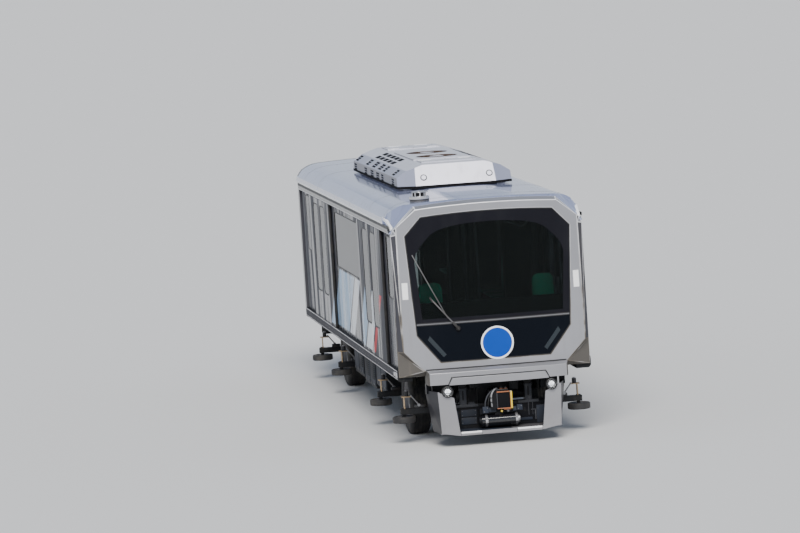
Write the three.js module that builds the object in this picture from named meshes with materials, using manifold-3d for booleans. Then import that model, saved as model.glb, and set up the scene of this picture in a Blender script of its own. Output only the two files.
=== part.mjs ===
// The front car of a rubber-tyred automated people mover, in millimetres.
// +X runs forward, +Y to the car's left and +Z up. The origin is on the running surface,
// under the middle of the car's overall length.
import * as THREE from 'three';
import { mergeVertices } from 'three/addons/utils/BufferGeometryUtils.js';
import Module from 'manifold-3d';

const wasm = await Module();
wasm.setup();

// Overall
const TIP = 5900; // front lip and rear coupler face, each from the middle
const GAP = 0.3; // between pieces that touch
const RUN_GAP = 0.6; // between pieces that slide or turn on each other
const BLOCK = 3; // how far a cutting block reaches past the face that it cuts

// Body section, half widths and heights
const WALL_OUT = 1310;
const WALL_IN = 1240;
const BAND_OUT = 1360; // sill and header bands, proud of the walls
const GUTTER_OUT = 1375;
const SILL_LOW = 930;
const SILL_TOP = 1090;
const FLOOR_TOP = 1100;
const FLOOR_LOW = 1010;
const HEAD_LOW = 2990;
const HEAD_TOP = 3100;
const GUTTER_TOP = 3190;
const CEILING = 3090;

// Body along its length
const BODY_FRONT = 5512; // walls, floor and roof end here, ahead of the front leaves when they stand open
const BODY_REAR = -4970;
const REAR_BEVEL = 120;
const REAR_CORNER = -5130; // where the rear bevel starts
const REAR_FACE = REAR_CORNER - REAR_BEVEL;

// Doors: outside-hung pairs of sliding leaves
const DOOR_CENTRES = { front: 3300, rear: -2420 };
const LEAF = { seam: 3, edge: 1240, y0: 1320, y1: 1360, z0: 1096, z1: 2984 };
const LEAF_WINDOW = { near: 110, far: 700, z0: 1530, z1: 2900, round: 110, inset: 4, pane: 8 };
const LEAF_SHOE = { length: 160, inset: 120, width: 24 };
const DOORWAY = { half: 950, z0: 1110, z1: 2950 };

// Side windows
const WINDOW_ROUND = 60;
const PANE = 12;
const SIDE_WINDOWS = [
  { name: 'front', x0: 4790, x1: 5340, z0: 2060, z1: 2930 },
  { name: 'middle', x0: -880, x1: 1760, z0: 2060, z1: 2890 },
  { name: 'rear', x0: -4460, x1: -3910, z0: 2060, z1: 2930 },
];

// Wheels and bogies
const AXLES = { front: 3840, rear: -2960 };
const TYRE = { radius: 480, half: 150, bead: 292, y: 890, facets: 32 };
const SPINDLE = 60;
const FACETS = 20;
const GUIDE = { x: 1180, y: 1240, z: 350, radius: 160, half: 45, pin: 25 };

const solidOf = (geometry) => {
  const plain = geometry.index ? geometry.toNonIndexed() : geometry.clone();
  const position = new THREE.BufferGeometry().setAttribute('position', plain.getAttribute('position'));
  const merged = mergeVertices(position, 1e-3);
  return new wasm.Manifold(new wasm.Mesh({
    numProp: 3,
    vertProperties: new Float32Array(merged.attributes.position.array),
    triVerts: new Uint32Array(merged.index.array),
  }));
};

const geometryOf = (solid) => {
  const mesh = solid.getMesh();
  const geometry = new THREE.BufferGeometry();
  geometry.setAttribute('position', new THREE.BufferAttribute(new Float32Array(mesh.vertProperties), 3));
  geometry.setIndex(new THREE.BufferAttribute(new Uint32Array(mesh.triVerts), 1));
  const flat = geometry.toNonIndexed();
  flat.computeVertexNormals();
  return flat;
};

const join = (...solids) => solids.reduce((whole, solid) => whole.add(solid));
const cut = (solid, ...tools) => tools.reduce((whole, tool) => whole.subtract(tool), solid);

const ordered = (pair) => [...pair].sort((p, q) => p - q);

// A block from its lowest to its highest corner.
const block = (x0, x1, y0, y1, z0, z1) => solidOf(
  new THREE.BoxGeometry(x1 - x0, y1 - y0, z1 - z0).translate((x0 + x1) / 2, (y0 + y1) / 2, (z0 + z1) / 2),
);

// Outlines are THREE.Shape. Each prism runs between two planes along the named axis.
const polygon = (points) => new THREE.Shape(points.map(([u, v]) => new THREE.Vector2(u, v)));
const extrude = (shape, depth) => (
  new THREE.ExtrudeGeometry(shape, { depth, bevelEnabled: false, curveSegments: 4 })
);
const basis = (u, v, w) => new THREE.Matrix4().makeBasis(
  new THREE.Vector3(...u), new THREE.Vector3(...v), new THREE.Vector3(...w),
);
const prismX = (shape, x0, x1) => solidOf(
  extrude(shape, x1 - x0).applyMatrix4(basis([0, 1, 0], [0, 0, 1], [1, 0, 0])).translate(x0, 0, 0),
);
const prismY = (shape, y0, y1) => solidOf(
  extrude(shape, y1 - y0).applyMatrix4(basis([1, 0, 0], [0, 0, 1], [0, -1, 0])).translate(0, y1, 0),
);

// A rectangle with round corners.
const roundedRect = (u0, u1, v0, v1, round) => {
  const shape = new THREE.Shape();
  shape.moveTo(u0 + round, v0);
  shape.absarc(u1 - round, v0 + round, round, -Math.PI / 2, 0, false);
  shape.absarc(u1 - round, v1 - round, round, 0, Math.PI / 2, false);
  shape.absarc(u0 + round, v1 - round, round, Math.PI / 2, Math.PI, false);
  shape.absarc(u0 + round, v0 + round, round, Math.PI, Math.PI * 1.5, false);
  return shape;
};

// Round bars between two points along one axis.
const rod = (radius, length, facets) => new THREE.CylinderGeometry(radius, radius, length, facets);
const barX = (radius, x0, x1, y, z, facets = FACETS) => solidOf(
  rod(radius, x1 - x0, facets).rotateZ(Math.PI / 2).translate((x0 + x1) / 2, y, z),
);
const barY = (radius, y0, y1, x, z, facets = FACETS) => solidOf(
  rod(radius, y1 - y0, facets).translate(x, (y0 + y1) / 2, z),
);
const barZ = (radius, z0, z1, x, y, facets = FACETS) => solidOf(
  rod(radius, z1 - z0, facets).rotateX(Math.PI / 2).translate(x, y, (z0 + z1) / 2),
);

// A body from front to back through grids of points. Each grid is rows, upwards, of points
// from right to left, and the first and last grids are its end faces.
const loftGrids = (grids) => {
  const rows = grids[0].length;
  const columns = grids[0][0].length;
  const points = grids.flat(2).flat();
  const at = (grid, row, column) => (grid * rows + row) * columns + column;
  const faces = [];
  const quad = (a, b, c, d) => faces.push(a, b, c, a, c, d);
  const last = grids.length - 1;
  for (let i = 0; i < rows - 1; i += 1) {
    for (let j = 0; j < columns - 1; j += 1) {
      quad(at(0, i, j), at(0, i, j + 1), at(0, i + 1, j + 1), at(0, i + 1, j));
      quad(at(last, i, j), at(last, i + 1, j), at(last, i + 1, j + 1), at(last, i, j + 1));
    }
  }
  for (let g = 0; g < last; g += 1) {
    for (let j = 0; j < columns - 1; j += 1) {
      quad(at(g, 0, j), at(g + 1, 0, j), at(g + 1, 0, j + 1), at(g, 0, j + 1));
      const top = rows - 1;
      quad(at(g, top, j), at(g, top, j + 1), at(g + 1, top, j + 1), at(g + 1, top, j));
    }
    for (let i = 0; i < rows - 1; i += 1) {
      quad(at(g, i, 0), at(g, i + 1, 0), at(g + 1, i + 1, 0), at(g + 1, i, 0));
      const side = columns - 1;
      quad(at(g, i, side), at(g + 1, i, side), at(g + 1, i + 1, side), at(g, i + 1, side));
    }
  }
  const geometry = new THREE.BufferGeometry();
  geometry.setAttribute('position', new THREE.BufferAttribute(new Float32Array(points), 3));
  geometry.setIndex(faces);
  return solidOf(geometry);
};

// Rows are { z, half, crown }: a height, a half width, and how far the row rises in the middle.
const COLUMNS = 9;
const grid = (rows, xOf, columns = COLUMNS) => rows.map(({ z, half, crown = 0 }) => (
  Array.from({ length: columns }, (_, j) => {
    const side = -1 + (2 * j) / (columns - 1);
    const y = side * half;
    const height = z + crown * (1 - side * side);
    return [xOf(y, height), y, height];
  })
));

// The front face bows forward in the middle and leans back towards the roof.
const FRONT_X = 5665;
const FRONT_BOW = 70;
const FRONT_LEAN = 0.035;
const MASK_TOP = 3310;
const CROWN = 40;
const frontX = (y, z) => FRONT_X - FRONT_BOW * (y / WALL_OUT) ** 2 + FRONT_LEAN * (MASK_TOP - z);
const inFront = (distance) => (y, z) => frontX(y, z) + distance;
const plane = (x) => () => x;

const CORNER_X = 5550;
const MASK_HALF = 1345;
const MASK_LOW = 990;
const MASK_FRONT_ROWS = [
  { z: 1070, half: 1000 },
  { z: 1350, half: 1278 },
  { z: 2980, half: 1271 },
  { z: 3080, half: 1270 },
  { z: MASK_TOP, half: 990, crown: CROWN },
];
const MASK_SIDE_ROWS = [
  { z: MASK_LOW, half: MASK_HALF },
  { z: 1350, half: MASK_HALF },
  { z: 2960, half: MASK_HALF },
];
const MASK_CORNER_ROWS = [...MASK_SIDE_ROWS, { z: 3046, half: 1306 }, { z: 3336, half: 990, crown: 45 }];
const MASK_REAR_ROWS = [...MASK_SIDE_ROWS, { z: 3052, half: 1310 }, { z: 3350, half: 1000, crown: 45 }];
// Glass line of the front: windscreen above the strip, dark panel below it
const STRIP = { z: 1720, half: 1086 };
const GLASS_TOP = [{ z: 2950, half: 1160 }, { z: 3200, half: 924, crown: CROWN }];
const GLASS_LOW = [{ z: 1180, half: 769 }, { z: 1570, half: 1078 }];
const GLASS_RECESS = 6;
const shrunk = (rows, by) => rows.map((row) => ({ ...row, half: row.half - by }));

const group = new THREE.Group();
const add = (name, solid, look) => {
  const mesh = new THREE.Mesh(geometryOf(solid), look);
  mesh.name = name;
  group.add(mesh);
  return mesh;
};

const finish = (color, roughness, metalness) => (
  new THREE.MeshStandardMaterial({ color, roughness, metalness })
);
const LOOKS = {
  silver: finish(0xa9a6a3, 0.35, 0.8),
  dark: finish(0x4a4c50, 0.2, 0.8),
  roof: finish(0x6f7a88, 0.3, 0.7),
  black: finish(0x141518, 0.6, 0.2),
  glass: finish(0x0c0e11, 0.05, 0.3),
  rubber: finish(0x1a1a1b, 0.9, 0),
  steel: finish(0x8b8e92, 0.4, 0.9),
  lamp: finish(0xe8ecf0, 0.1, 0.2),
  seat: finish(0x2e5f8f, 0.7, 0),
};

// Underframe: floor plate, sills, front beam, the two coupler pockets, and the bar that hangs
// across the front coupler's bay
const FRONT_BEAM = { x0: 5300, x1: 5560, y: 950, z0: 880, z1: 985 };
const POCKET = { front: [5200, 5300], rear: [-4900, -4800], y: 230, z0: 500 };
const COUPLER_Z = 620;
const BAY_BAR = { x0: 5420, x1: 5460, half: 600, z0: 505, z1: 540, hanger: [410, 510] };
{
  const half = [
    [0, FLOOR_LOW], [1150, FLOOR_LOW], [1150, SILL_LOW], [1330, SILL_LOW], [BAND_OUT, SILL_LOW + 30],
    [BAND_OUT, SILL_TOP], [WALL_IN - GAP, SILL_TOP], [WALL_IN - GAP, FLOOR_TOP], [0, FLOOR_TOP],
  ];
  const mirrored = half.slice(1, -1).reverse().map(([y, z]) => [-y, z]);
  const floor = prismX(polygon([...half, ...mirrored]), BODY_REAR, BODY_FRONT);
  const { x0: beamX, x1: beamEnd, y: beamY, z0: beamLow, z1: beamTop } = FRONT_BEAM;
  const beam = block(beamX, beamEnd, -beamY, beamY, beamLow, beamTop);
  const neck = block(beamX, BODY_FRONT, -beamY, beamY, beamTop - BLOCK, FLOOR_TOP - BLOCK);
  const pockets = [POCKET.front, POCKET.rear].map(([x0, x1]) => (
    block(x0, x1, -POCKET.y, POCKET.y, POCKET.z0, FLOOR_TOP - BLOCK)
  ));
  const bar = block(BAY_BAR.x0, BAY_BAR.x1, -BAY_BAR.half, BAY_BAR.half, BAY_BAR.z0, BAY_BAR.z1);
  const hangers = [1, -1].map((sign) => {
    const [y0, y1] = ordered(BAY_BAR.hanger.map((y) => sign * y));
    return block(BAY_BAR.x0, BAY_BAR.x1, y0, y1, BAY_BAR.z1 - BLOCK, FRONT_BEAM.z0 + BLOCK);
  });
  add('underframe', join(floor, beam, neck, ...pockets, bar, ...hangers), LOOKS.black);
}

// Side walls with their doorways and windows cut through, and the panes in the windows
for (const [side, sign] of [['left', 1], ['right', -1]]) {
  const y0 = sign > 0 ? WALL_IN : -WALL_OUT;
  const y1 = y0 + WALL_OUT - WALL_IN;
  const wall = block(BODY_REAR, BODY_FRONT, y0, y1, SILL_TOP + GAP, HEAD_LOW - GAP);
  const doorways = Object.values(DOOR_CENTRES).map((x) => (
    block(x - DOORWAY.half, x + DOORWAY.half, y0 - BLOCK, y1 + BLOCK, DOORWAY.z0, DOORWAY.z1)
  ));
  const windows = SIDE_WINDOWS.map(({ x0, x1, z0, z1 }) => (
    prismY(roundedRect(x0, x1, z0, z1, WINDOW_ROUND), y0 - BLOCK, y1 + BLOCK)
  ));
  add(`side_wall_${side}`, cut(wall, ...doorways, ...windows), LOOKS.dark);
  const out = sign * (WALL_OUT - GAP);
  const inner = out - sign * PANE;
  for (const { name, x0, x1, z0, z1 } of SIDE_WINDOWS) {
    const outline = roundedRect(x0 + GAP, x1 - GAP, z0 + GAP, z1 - GAP, WINDOW_ROUND);
    add(`window_${name}_${side}`, prismY(outline, Math.min(out, inner), Math.max(out, inner)), LOOKS.glass);
  }
}

// Roof: ceiling, header bands, gutters and the arched skin in one piece. Above the gutters come
// the rows of the shoulder, and then the crown.
const SHOULDER = [
  { z: 3200, half: 1337 },
  { z: 3245, half: 1310 },
  { z: 3287, half: 1270 },
  { z: 3321, half: 1216 },
  { z: 3348, half: 1155 },
  { z: 3367, half: 1085 },
];
const ROOF_TOP = { z: 3380, half: 1000, crown: 30 };
// The crown's points from the left edge to the right one, raised by a distance.
const crownLine = (above = 0) => (
  grid([{ ...ROOF_TOP, z: ROOF_TOP.z + above }], plane(0))[0].reverse().map(([, y, z]) => [y, z])
);
// The front of the roof slopes down to the mask. At each place along it the sides are half widths
// and heights from the header up, and the top is a half width, a height and a rise in the middle.
const SLOPE = [
  { x: BODY_FRONT, sides: [[1400, 2900], [1362, 2990], [1310, 3052], [1158, 3198]], top: [1000, 3350, 45] },
  { x: 5400, sides: [[1400, 2900], [1378, 3020], [1318, 3088], [1190, 3235]], top: [1030, 3390, 30] },
  { x: 5250, sides: [[1400, 2900], [1385, 3070], [1326, 3140], [1262, 3290]], top: [1080, 3400, 20] },
  { x: 5050, sides: [[1400, 2900], [1400, 3160], [1352, 3230], [1290, 3300]], top: [1104, 3420, 0] },
];
const GUTTER = { end: 5050, skin: 1345 };
// A bright strip runs from the gutter's end down along the edge of the slope.
const EDGE_LINE = [[5500, 1314, 3054], [5400, 1323, 3090], [5250, 1333, 3144], [5030, 1350, 3180]];
const EDGE_HALF = 19;
{
  const half = [
    [WALL_IN, CEILING], [WALL_IN, HEAD_LOW], [BAND_OUT, HEAD_LOW], [BAND_OUT, HEAD_TOP],
    [GUTTER_OUT, HEAD_TOP], [GUTTER_OUT, GUTTER_TOP], ...SHOULDER.map((row) => [row.half, row.z]),
  ];
  const mirrored = [...half].reverse().map(([y, z]) => [-y, z]);
  const whole = prismX(polygon([...half, ...crownLine(), ...mirrored]), BODY_REAR, BODY_FRONT);
  const limits = SLOPE.map(({ x, sides, top }) => ({
    x, rows: [...sides, top].map(([y, z, crown]) => ({ z, half: y, crown })),
  }));
  const rear = { ...limits[limits.length - 1], x: BODY_REAR - BLOCK };
  const envelope = loftGrids([...limits, rear].map(({ x, rows }) => grid(rows, plane(x))));
  const ends = [1, -1].map((sign) => {
    const [y0, y1] = ordered([sign * GUTTER.skin, sign * (GUTTER_OUT + BLOCK)]);
    return block(GUTTER.end, BODY_FRONT + BLOCK, y0, y1, HEAD_TOP, GUTTER_TOP + BLOCK);
  });
  const strips = [1, -1].map((sign) => loftGrids(EDGE_LINE.map(([x, y, z]) => (
    [-1, 1].map((up) => [-1, 1].map((side) => [x, sign * y + side * EDGE_HALF, z + up * EDGE_HALF]))
  ))));
  add('roof', join(cut(whole.intersect(envelope), ...ends), ...strips), LOOKS.roof);
}

// Front mask: a shell behind the bowed face, with one opening for windscreen and dark panel
const MASK_WALL = 60;
const MASK_LINING = 20; // less hollow at the corners than behind the face
const GLASS_ROWS = [...GLASS_LOW, STRIP, ...GLASS_TOP];
// The mask before it is hollowed, grown forwards and downwards for use as a cutter.
const maskBody = (grow) => {
  const lowered = (rows) => [{ ...rows[0], z: rows[0].z - grow }, ...rows.slice(1)];
  return loftGrids([
    grid(lowered(MASK_FRONT_ROWS), inFront(grow)),
    grid(lowered(MASK_CORNER_ROWS), plane(CORNER_X)),
    grid(lowered(MASK_REAR_ROWS), plane(BODY_FRONT + GAP)),
  ]);
};
{
  const back = BODY_FRONT + GAP;
  const body = maskBody(0);
  const inside = MASK_HALF - MASK_WALL - MASK_LINING;
  const hollowTop = CEILING - MASK_WALL;
  const hollow = block(back - BLOCK, CORNER_X + MASK_LINING, -inside, inside, FLOOR_TOP, hollowTop);
  const opening = loftGrids([grid(GLASS_ROWS, plane(TIP)), grid(GLASS_ROWS, plane(back - BLOCK))]);
  add('front_mask', cut(body, hollow, opening), LOOKS.silver);
}

// Windscreen and dark panel, seated in the opening of the mask
{
  const sheet = (rows) => loftGrids([
    grid(rows, inFront(-GLASS_RECESS)),
    grid(rows, inFront(-GLASS_RECESS - PANE)),
  ]);
  const moved = (row, by) => ({ ...row, z: row.z + by });
  const upper = [moved(STRIP, GAP), GLASS_TOP[0], moved(GLASS_TOP[1], -GAP)];
  const lower = [moved(GLASS_LOW[0], GAP), GLASS_LOW[1], moved(STRIP, -GAP)];
  add('windscreen', sheet(shrunk(upper, GAP * 2)), LOOKS.glass);
  add('nose_panel', sheet(shrunk(lower, GAP * 2)), LOOKS.glass);
}

// Bumper: a bowed bar with a sloped top, and the cover that stands proud of it over the coupler
const BUMPER = { half: 985, z0: 880, z1: 1080, front: TIP - 12, bow: 45, slope: 35, round: 25, edge: 50 };
const LIP = { z0: 870, z1: 970, low: 700, high: 650, depth: 60 };
{
  const bow = (x) => (y) => x - BUMPER.bow * (y / BUMPER.half) ** 2;
  const rows = (lower, inset) => [
    { z: BUMPER.z0, half: BUMPER.half - inset }, { z: BUMPER.z1 - lower, half: BUMPER.half - inset },
  ];
  const lipRows = [{ z: LIP.z0, half: LIP.low }, { z: LIP.z1, half: LIP.high }];
  const bar = loftGrids([
    grid(rows(BUMPER.slope, BUMPER.round), bow(BUMPER.front)),
    grid(rows(0, 0), bow(BUMPER.front - BUMPER.edge)),
    grid(rows(0, 0), plane(FRONT_BEAM.x1 + GAP)),
  ]);
  const lip = loftGrids([grid(lipRows, bow(TIP)), grid(lipRows, bow(TIP - LIP.depth))]);
  add('bumper', cut(join(bar, lip), maskBody(GAP * 2)), LOOKS.silver);
}

// Apron: two slanted legs, their splayed flanks, a tray with a front strip and a back plate,
// and a round seat for a headlight at the top of each leg
const APRON = {
  front: 5850,
  back: 5450,
  sheet: 25,
  leg: [[640, 690], [575, 158], [838, 205], [865, 785]],
  splay: [62, 120],
  tray: { z0: 190, z1: 205, half: 845 },
  strip: { z0: 158, z1: 212, half: 580 },
  plate: 15,
  hanger: { x1: 5540, y0: 905, y1: 975, z0: 740 },
};
const HEADLIGHT = { y: 727, z: 783, ring: 82, lens: 66, back: 50, front: 40 };
{
  const [, , [lowY, lowZ], [highY, highZ]] = APRON.leg;
  const face = APRON.front - APRON.sheet;
  const legs = [1, -1].flatMap((sign) => {
    const leg = prismX(polygon(APRON.leg.map(([y, z]) => [sign * y, z])), face, APRON.front);
    const edge = (x, y0, y1) => [[y0, lowZ], [y1, highZ]].map(([y, z]) => (
      ordered([sign * (y - APRON.sheet), sign * y]).map((at) => [x, at, z])
    ));
    const flank = loftGrids([
      edge(face + 1, lowY, highY), edge(APRON.back, lowY + APRON.splay[0], highY + APRON.splay[1]),
    ]);
    const { x1, y0, y1, z0 } = APRON.hanger;
    const [h0, h1] = ordered([sign * y0, sign * y1]);
    return [leg, flank, block(APRON.back, x1, h0, h1, z0, FRONT_BEAM.z0 - GAP)];
  });
  const { tray, strip } = APRON;
  const floor = block(APRON.back, face + 1, -tray.half, tray.half, tray.z0, tray.z1);
  const front = block(face, APRON.front, -strip.half, strip.half, strip.z0, strip.z1);
  const plate = block(
    APRON.back, APRON.back + APRON.plate, -tray.half, tray.half, tray.z0, BAY_BAR.z0 - GAP,
  );
  const seats = [1, -1].map((sign) => (
    barX(HEADLIGHT.ring + GAP, face - BLOCK, APRON.front + BLOCK, sign * HEADLIGHT.y, HEADLIGHT.z)
  ));
  add('apron', cut(join(...legs, floor, front, plate), ...seats), LOOKS.silver);
}

// Headlights in the seats at the tops of the apron's legs
for (const [side, sign] of [['left', 1], ['right', -1]]) {
  const { ring, lens, back, front } = HEADLIGHT;
  const profile = [
    [0, -back], [ring - 20, -back], [ring, 12 - back], [ring, front - 10], [ring - 8, front],
    [lens, front], [lens - 6, front - 12], [lens / 2, front - 4], [0, front - 2],
  ].map(([r, h]) => new THREE.Vector2(r, h));
  const lamp = new THREE.LatheGeometry(profile, FACETS).rotateZ(-Math.PI / 2);
  lamp.translate(APRON.front, sign * HEADLIGHT.y, HEADLIGHT.z);
  add(`headlight_${side}`, solidOf(lamp), LOOKS.lamp);
}

// Front coupler: shank, head, the arm under the head, and the cross cylinder that hangs from it
const COUPLER = {
  shank: 60,
  flange: 130,
  head: { x0: 5560, x1: 5760, half: 125, z0: 480, z1: 740 },
  arm: { x0: 5600, x1: 5690, half: 270, z0: 415, z1: 490 },
  cross: { x: 5660, z: 318, radius: 85, half: 250, cap: 60, capHalf: 285 },
};
{
  const { head, arm, cross } = COUPLER;
  const root = POCKET.front[1] + GAP;
  const boxed = (x0, x1, half, z0, z1) => block(x0, x1, -half, half, z0, z1);
  const shank = barX(COUPLER.shank, root, head.x0 + BLOCK, 0, COUPLER_Z);
  const flange = barX(COUPLER.flange, root, root + 40, 0, COUPLER_Z);
  const body = boxed(head.x0, head.x1, head.half, head.z0, head.z1);
  const yoke = boxed(arm.x0, arm.x1, arm.half, arm.z0, arm.z1);
  const neck = boxed(cross.x - 40, cross.x + 30, cross.cap, cross.z, arm.z0 + BLOCK);
  const cylinder = barY(cross.radius, -cross.half, cross.half, cross.x, cross.z);
  const caps = barY(cross.cap, -cross.capHalf, cross.capHalf, cross.x, cross.z);
  add('front_coupler', join(shank, flange, body, yoke, neck, cylinder, caps), LOOKS.steel);
}

// Rear coupler: a drawbar with a flat round flange
const DRAWBAR = { bar: 55, flange: 110, root: 120, sheet: 40 };
{
  const { bar, flange, root, sheet } = DRAWBAR;
  const end = POCKET.rear[0] - GAP;
  add('rear_coupler', join(
    barX(bar, sheet / 2 - TIP, end, 0, COUPLER_Z),
    barX(flange, -TIP, sheet - TIP, 0, COUPLER_Z),
    barX(root, end - sheet, end, 0, COUPLER_Z),
  ), LOOKS.steel);
}

// Rear end wall with its bevelled edge and the gangway doorway
const GANGWAY = { half: 560, z0: FLOOR_TOP, z1: 3000, out: 720, low: 1000, high: 3160 };
const END_WALL = { sheet: 80, inside: 1210, couplerHalf: 400, couplerTop: 950 };
{
  const low = { z: SILL_LOW, half: MASK_HALF };
  const upper = [{ z: GUTTER_TOP, half: MASK_HALF }, ...SHOULDER, ROOF_TOP];
  const rows = [low, ...upper];
  const small = shrunk([low, ...upper.map((row) => ({ ...row, z: row.z - REAR_BEVEL }))], REAR_BEVEL);
  const body = loftGrids([
    grid(rows, plane(BODY_REAR - GAP)), grid(rows, plane(REAR_CORNER)), grid(small, plane(REAR_FACE)),
  ]);
  const { sheet, inside, couplerHalf, couplerTop } = END_WALL;
  const hollow = block(REAR_FACE + sheet, BODY_REAR + BLOCK, -inside, inside, FLOOR_TOP, CEILING);
  const doorway = block(REAR_FACE - BLOCK, BODY_REAR, -GANGWAY.half, GANGWAY.half, GANGWAY.z0, GANGWAY.z1);
  const couplerWay = block(REAR_FACE - BLOCK, BODY_REAR + BLOCK, -couplerHalf, couplerHalf, 0, couplerTop);
  add('rear_end_wall', cut(body, hollow, doorway, couplerWay), LOOKS.dark);
}

// Gangway bellows: a folded sleeve with a flat end frame
const BELLOWS = { folds: 5, fold: 50, crest: 20, valley: 35, depth: 40, frame: 30 };
{
  const start = REAR_FACE - GAP;
  const rows = (by) => [
    { z: GANGWAY.low + by, half: GANGWAY.out - by }, { z: GANGWAY.high - by, half: GANGWAY.out - by },
  ];
  const layers = [grid(rows(0), plane(start), 2)];
  for (let i = 0; i < BELLOWS.folds; i += 1) {
    const x = start - i * BELLOWS.fold;
    layers.push(grid(rows(0), plane(x - BELLOWS.crest), 2));
    layers.push(grid(rows(BELLOWS.depth), plane(x - BELLOWS.valley), 2));
    layers.push(grid(rows(0), plane(x - BELLOWS.fold), 2));
  }
  const end = start - BELLOWS.folds * BELLOWS.fold - BELLOWS.frame;
  layers.push(grid(rows(0), plane(end), 2));
  const tunnel = block(end - BLOCK, start + BLOCK, -GANGWAY.half, GANGWAY.half, FLOOR_TOP, GANGWAY.z1);
  add('gangway_bellows', cut(loftGrids(layers), tunnel), LOOKS.rubber);
}

// What stands on the roof is cut to its crown.
const roofCutter = (x0, x1) => {
  const foot = [[-ROOF_TOP.half, CEILING], [ROOF_TOP.half, CEILING]];
  return prismX(polygon([...foot, ...crownLine(GAP * 2)]), x0 - BLOCK, x1 + BLOCK);
};

// Air-conditioning housing on the roof: a faceted section cut back by leaning ends and by the
// corner facets between the ends and the sides, with slots in the sides and a fan deck on top
const HVAC = {
  x0: -2110,
  x1: 3040,
  section: [[830, 3415], [830, 3570], [690, 3665], [450, 3740]],
  end: { half: 585, topHalf: 565, lean: 175, rise: 305 },
  corner: 140,
  feet: { y0: 620, y1: 740, inset: 220, z0: 3300 },
  slot: 12,
};
const HVAC_LOW = HVAC.section[0][1];
const HVAC_TOP = HVAC.section[3][1];
// Slots as spans along the housing; the numbers after them are the part of the facet they take up
const SMALL_SLOTS = [[-1860, -1540], [-700, -380], [-30, 340], [600, 960], [1140, 1420]];
const LARGE_SLOTS = [-600, -200, 200, 600, 1000].map((x) => [x, x + 210]);
const SIDE_SLOTS = [
  { facet: 0, from: 0.2, to: 0.8, spans: [...SMALL_SLOTS, [2250, 2540]] },
  { facet: 1, from: 0.15, to: 0.85, spans: [...SMALL_SLOTS, [2130, 2410]] },
  { facet: 2, from: 0.12, to: 0.42, spans: LARGE_SLOTS },
  { facet: 2, from: 0.58, to: 0.88, spans: LARGE_SLOTS },
];
const DECKS = [
  { x0: -1800, x1: -1080, half: 400, top: 3750 },
  { x0: -260, x1: 1760, half: 420, top: 3755 },
  { x0: 1960, x1: 2420, half: 400, top: 3750 },
];
const FANS = { xs: [270, 1230], radius: 310, deep: 45 };
const CUTTER = 4000;
// A large block on the outer side of the plane through three points of the housing.
const beyond = (...corners) => {
  const [origin, u, v] = corners.map((p) => new THREE.Vector3(...p));
  const normal = u.sub(origin).cross(v.sub(origin)).normalize();
  const middle = new THREE.Vector3((HVAC.x0 + HVAC.x1) / 2, 0, HVAC_LOW);
  if (normal.dot(middle.sub(origin)) > 0) normal.negate();
  const box = new THREE.BoxGeometry(CUTTER, CUTTER, CUTTER).translate(0, 0, CUTTER / 2);
  box.applyQuaternion(new THREE.Quaternion().setFromUnitVectors(new THREE.Vector3(0, 0, 1), normal));
  return solidOf(box.translate(origin.x, origin.y, origin.z));
};
{
  const { section, end, feet } = HVAC;
  const mirrored = [...section].reverse().map(([y, z]) => [-y, z]);
  const whole = prismX(polygon([...section, ...mirrored]), HVAC.x0, HVAC.x1);
  const ends = [[HVAC.x1, 1], [HVAC.x0, -1]].flatMap(([x, fore]) => {
    const low = (y) => [x, y, HVAC_LOW];
    const high = (y) => [x - fore * end.lean, y, HVAC_LOW + end.rise];
    const corners = [1, -1].map((sign) => beyond(
      low(sign * end.half),
      [x - fore * HVAC.corner, sign * section[0][0], HVAC_LOW],
      high(sign * end.topHalf),
    ));
    return [beyond(low(-end.half), low(end.half), high(end.half)), ...corners];
  });
  const slots = SIDE_SLOTS.flatMap(({ facet, from, to, spans }) => {
    const [a, b] = [section[facet], section[facet + 1]].map(([y, z]) => new THREE.Vector2(y, z));
    const along = b.clone().sub(a);
    const out = new THREE.Vector2(along.y, -along.x).normalize();
    const at = (part, distance) => a.clone().addScaledVector(along, part).addScaledVector(out, distance);
    const outline = [at(from, -HVAC.slot), at(from, BLOCK), at(to, BLOCK), at(to, -HVAC.slot)];
    return spans.flatMap(([x0, x1]) => [1, -1].map((sign) => (
      prismX(polygon(outline.map(({ x: y, y: z }) => [sign * y, z])), x0, x1)
    )));
  });
  const decks = DECKS.map(({ x0, x1, half, top }) => block(x0, x1, -half, half, HVAC_TOP - BLOCK, top));
  const fans = FANS.xs.map((x) => barZ(FANS.radius, HVAC_TOP - FANS.deep, DECKS[1].top + BLOCK, x, 0));
  const rails = [1, -1].map((sign) => {
    const [y0, y1] = ordered([sign * feet.y0, sign * feet.y1]);
    return block(HVAC.x0 + feet.inset, HVAC.x1 - feet.inset, y0, y1, feet.z0, HVAC_LOW + BLOCK);
  });
  const housing = cut(join(cut(whole, ...ends), ...decks), ...slots, ...fans);
  add('hvac_unit', cut(join(housing, ...rails), roofCutter(HVAC.x0, HVAC.x1)), LOOKS.silver);
}

// Roof vent: a flange and a low dome
const VENT = {
  x: 5080,
  y: -840,
  z: 3365,
  flange: 140,
  profile: [[140, 0], [140, 95], [102, 100], [102, 145], [85, 158], [0, 163]],
};
{
  const profile = [[0, 0], ...VENT.profile].map(([r, h]) => new THREE.Vector2(r, h));
  const turned = new THREE.LatheGeometry(profile, FACETS).rotateX(Math.PI / 2);
  const vent = turned.translate(VENT.x, VENT.y, VENT.z);
  const cutter = roofCutter(VENT.x - VENT.flange, VENT.x + VENT.flange);
  add('roof_vent', cut(solidOf(vent), cutter), LOOKS.steel);
}

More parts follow.
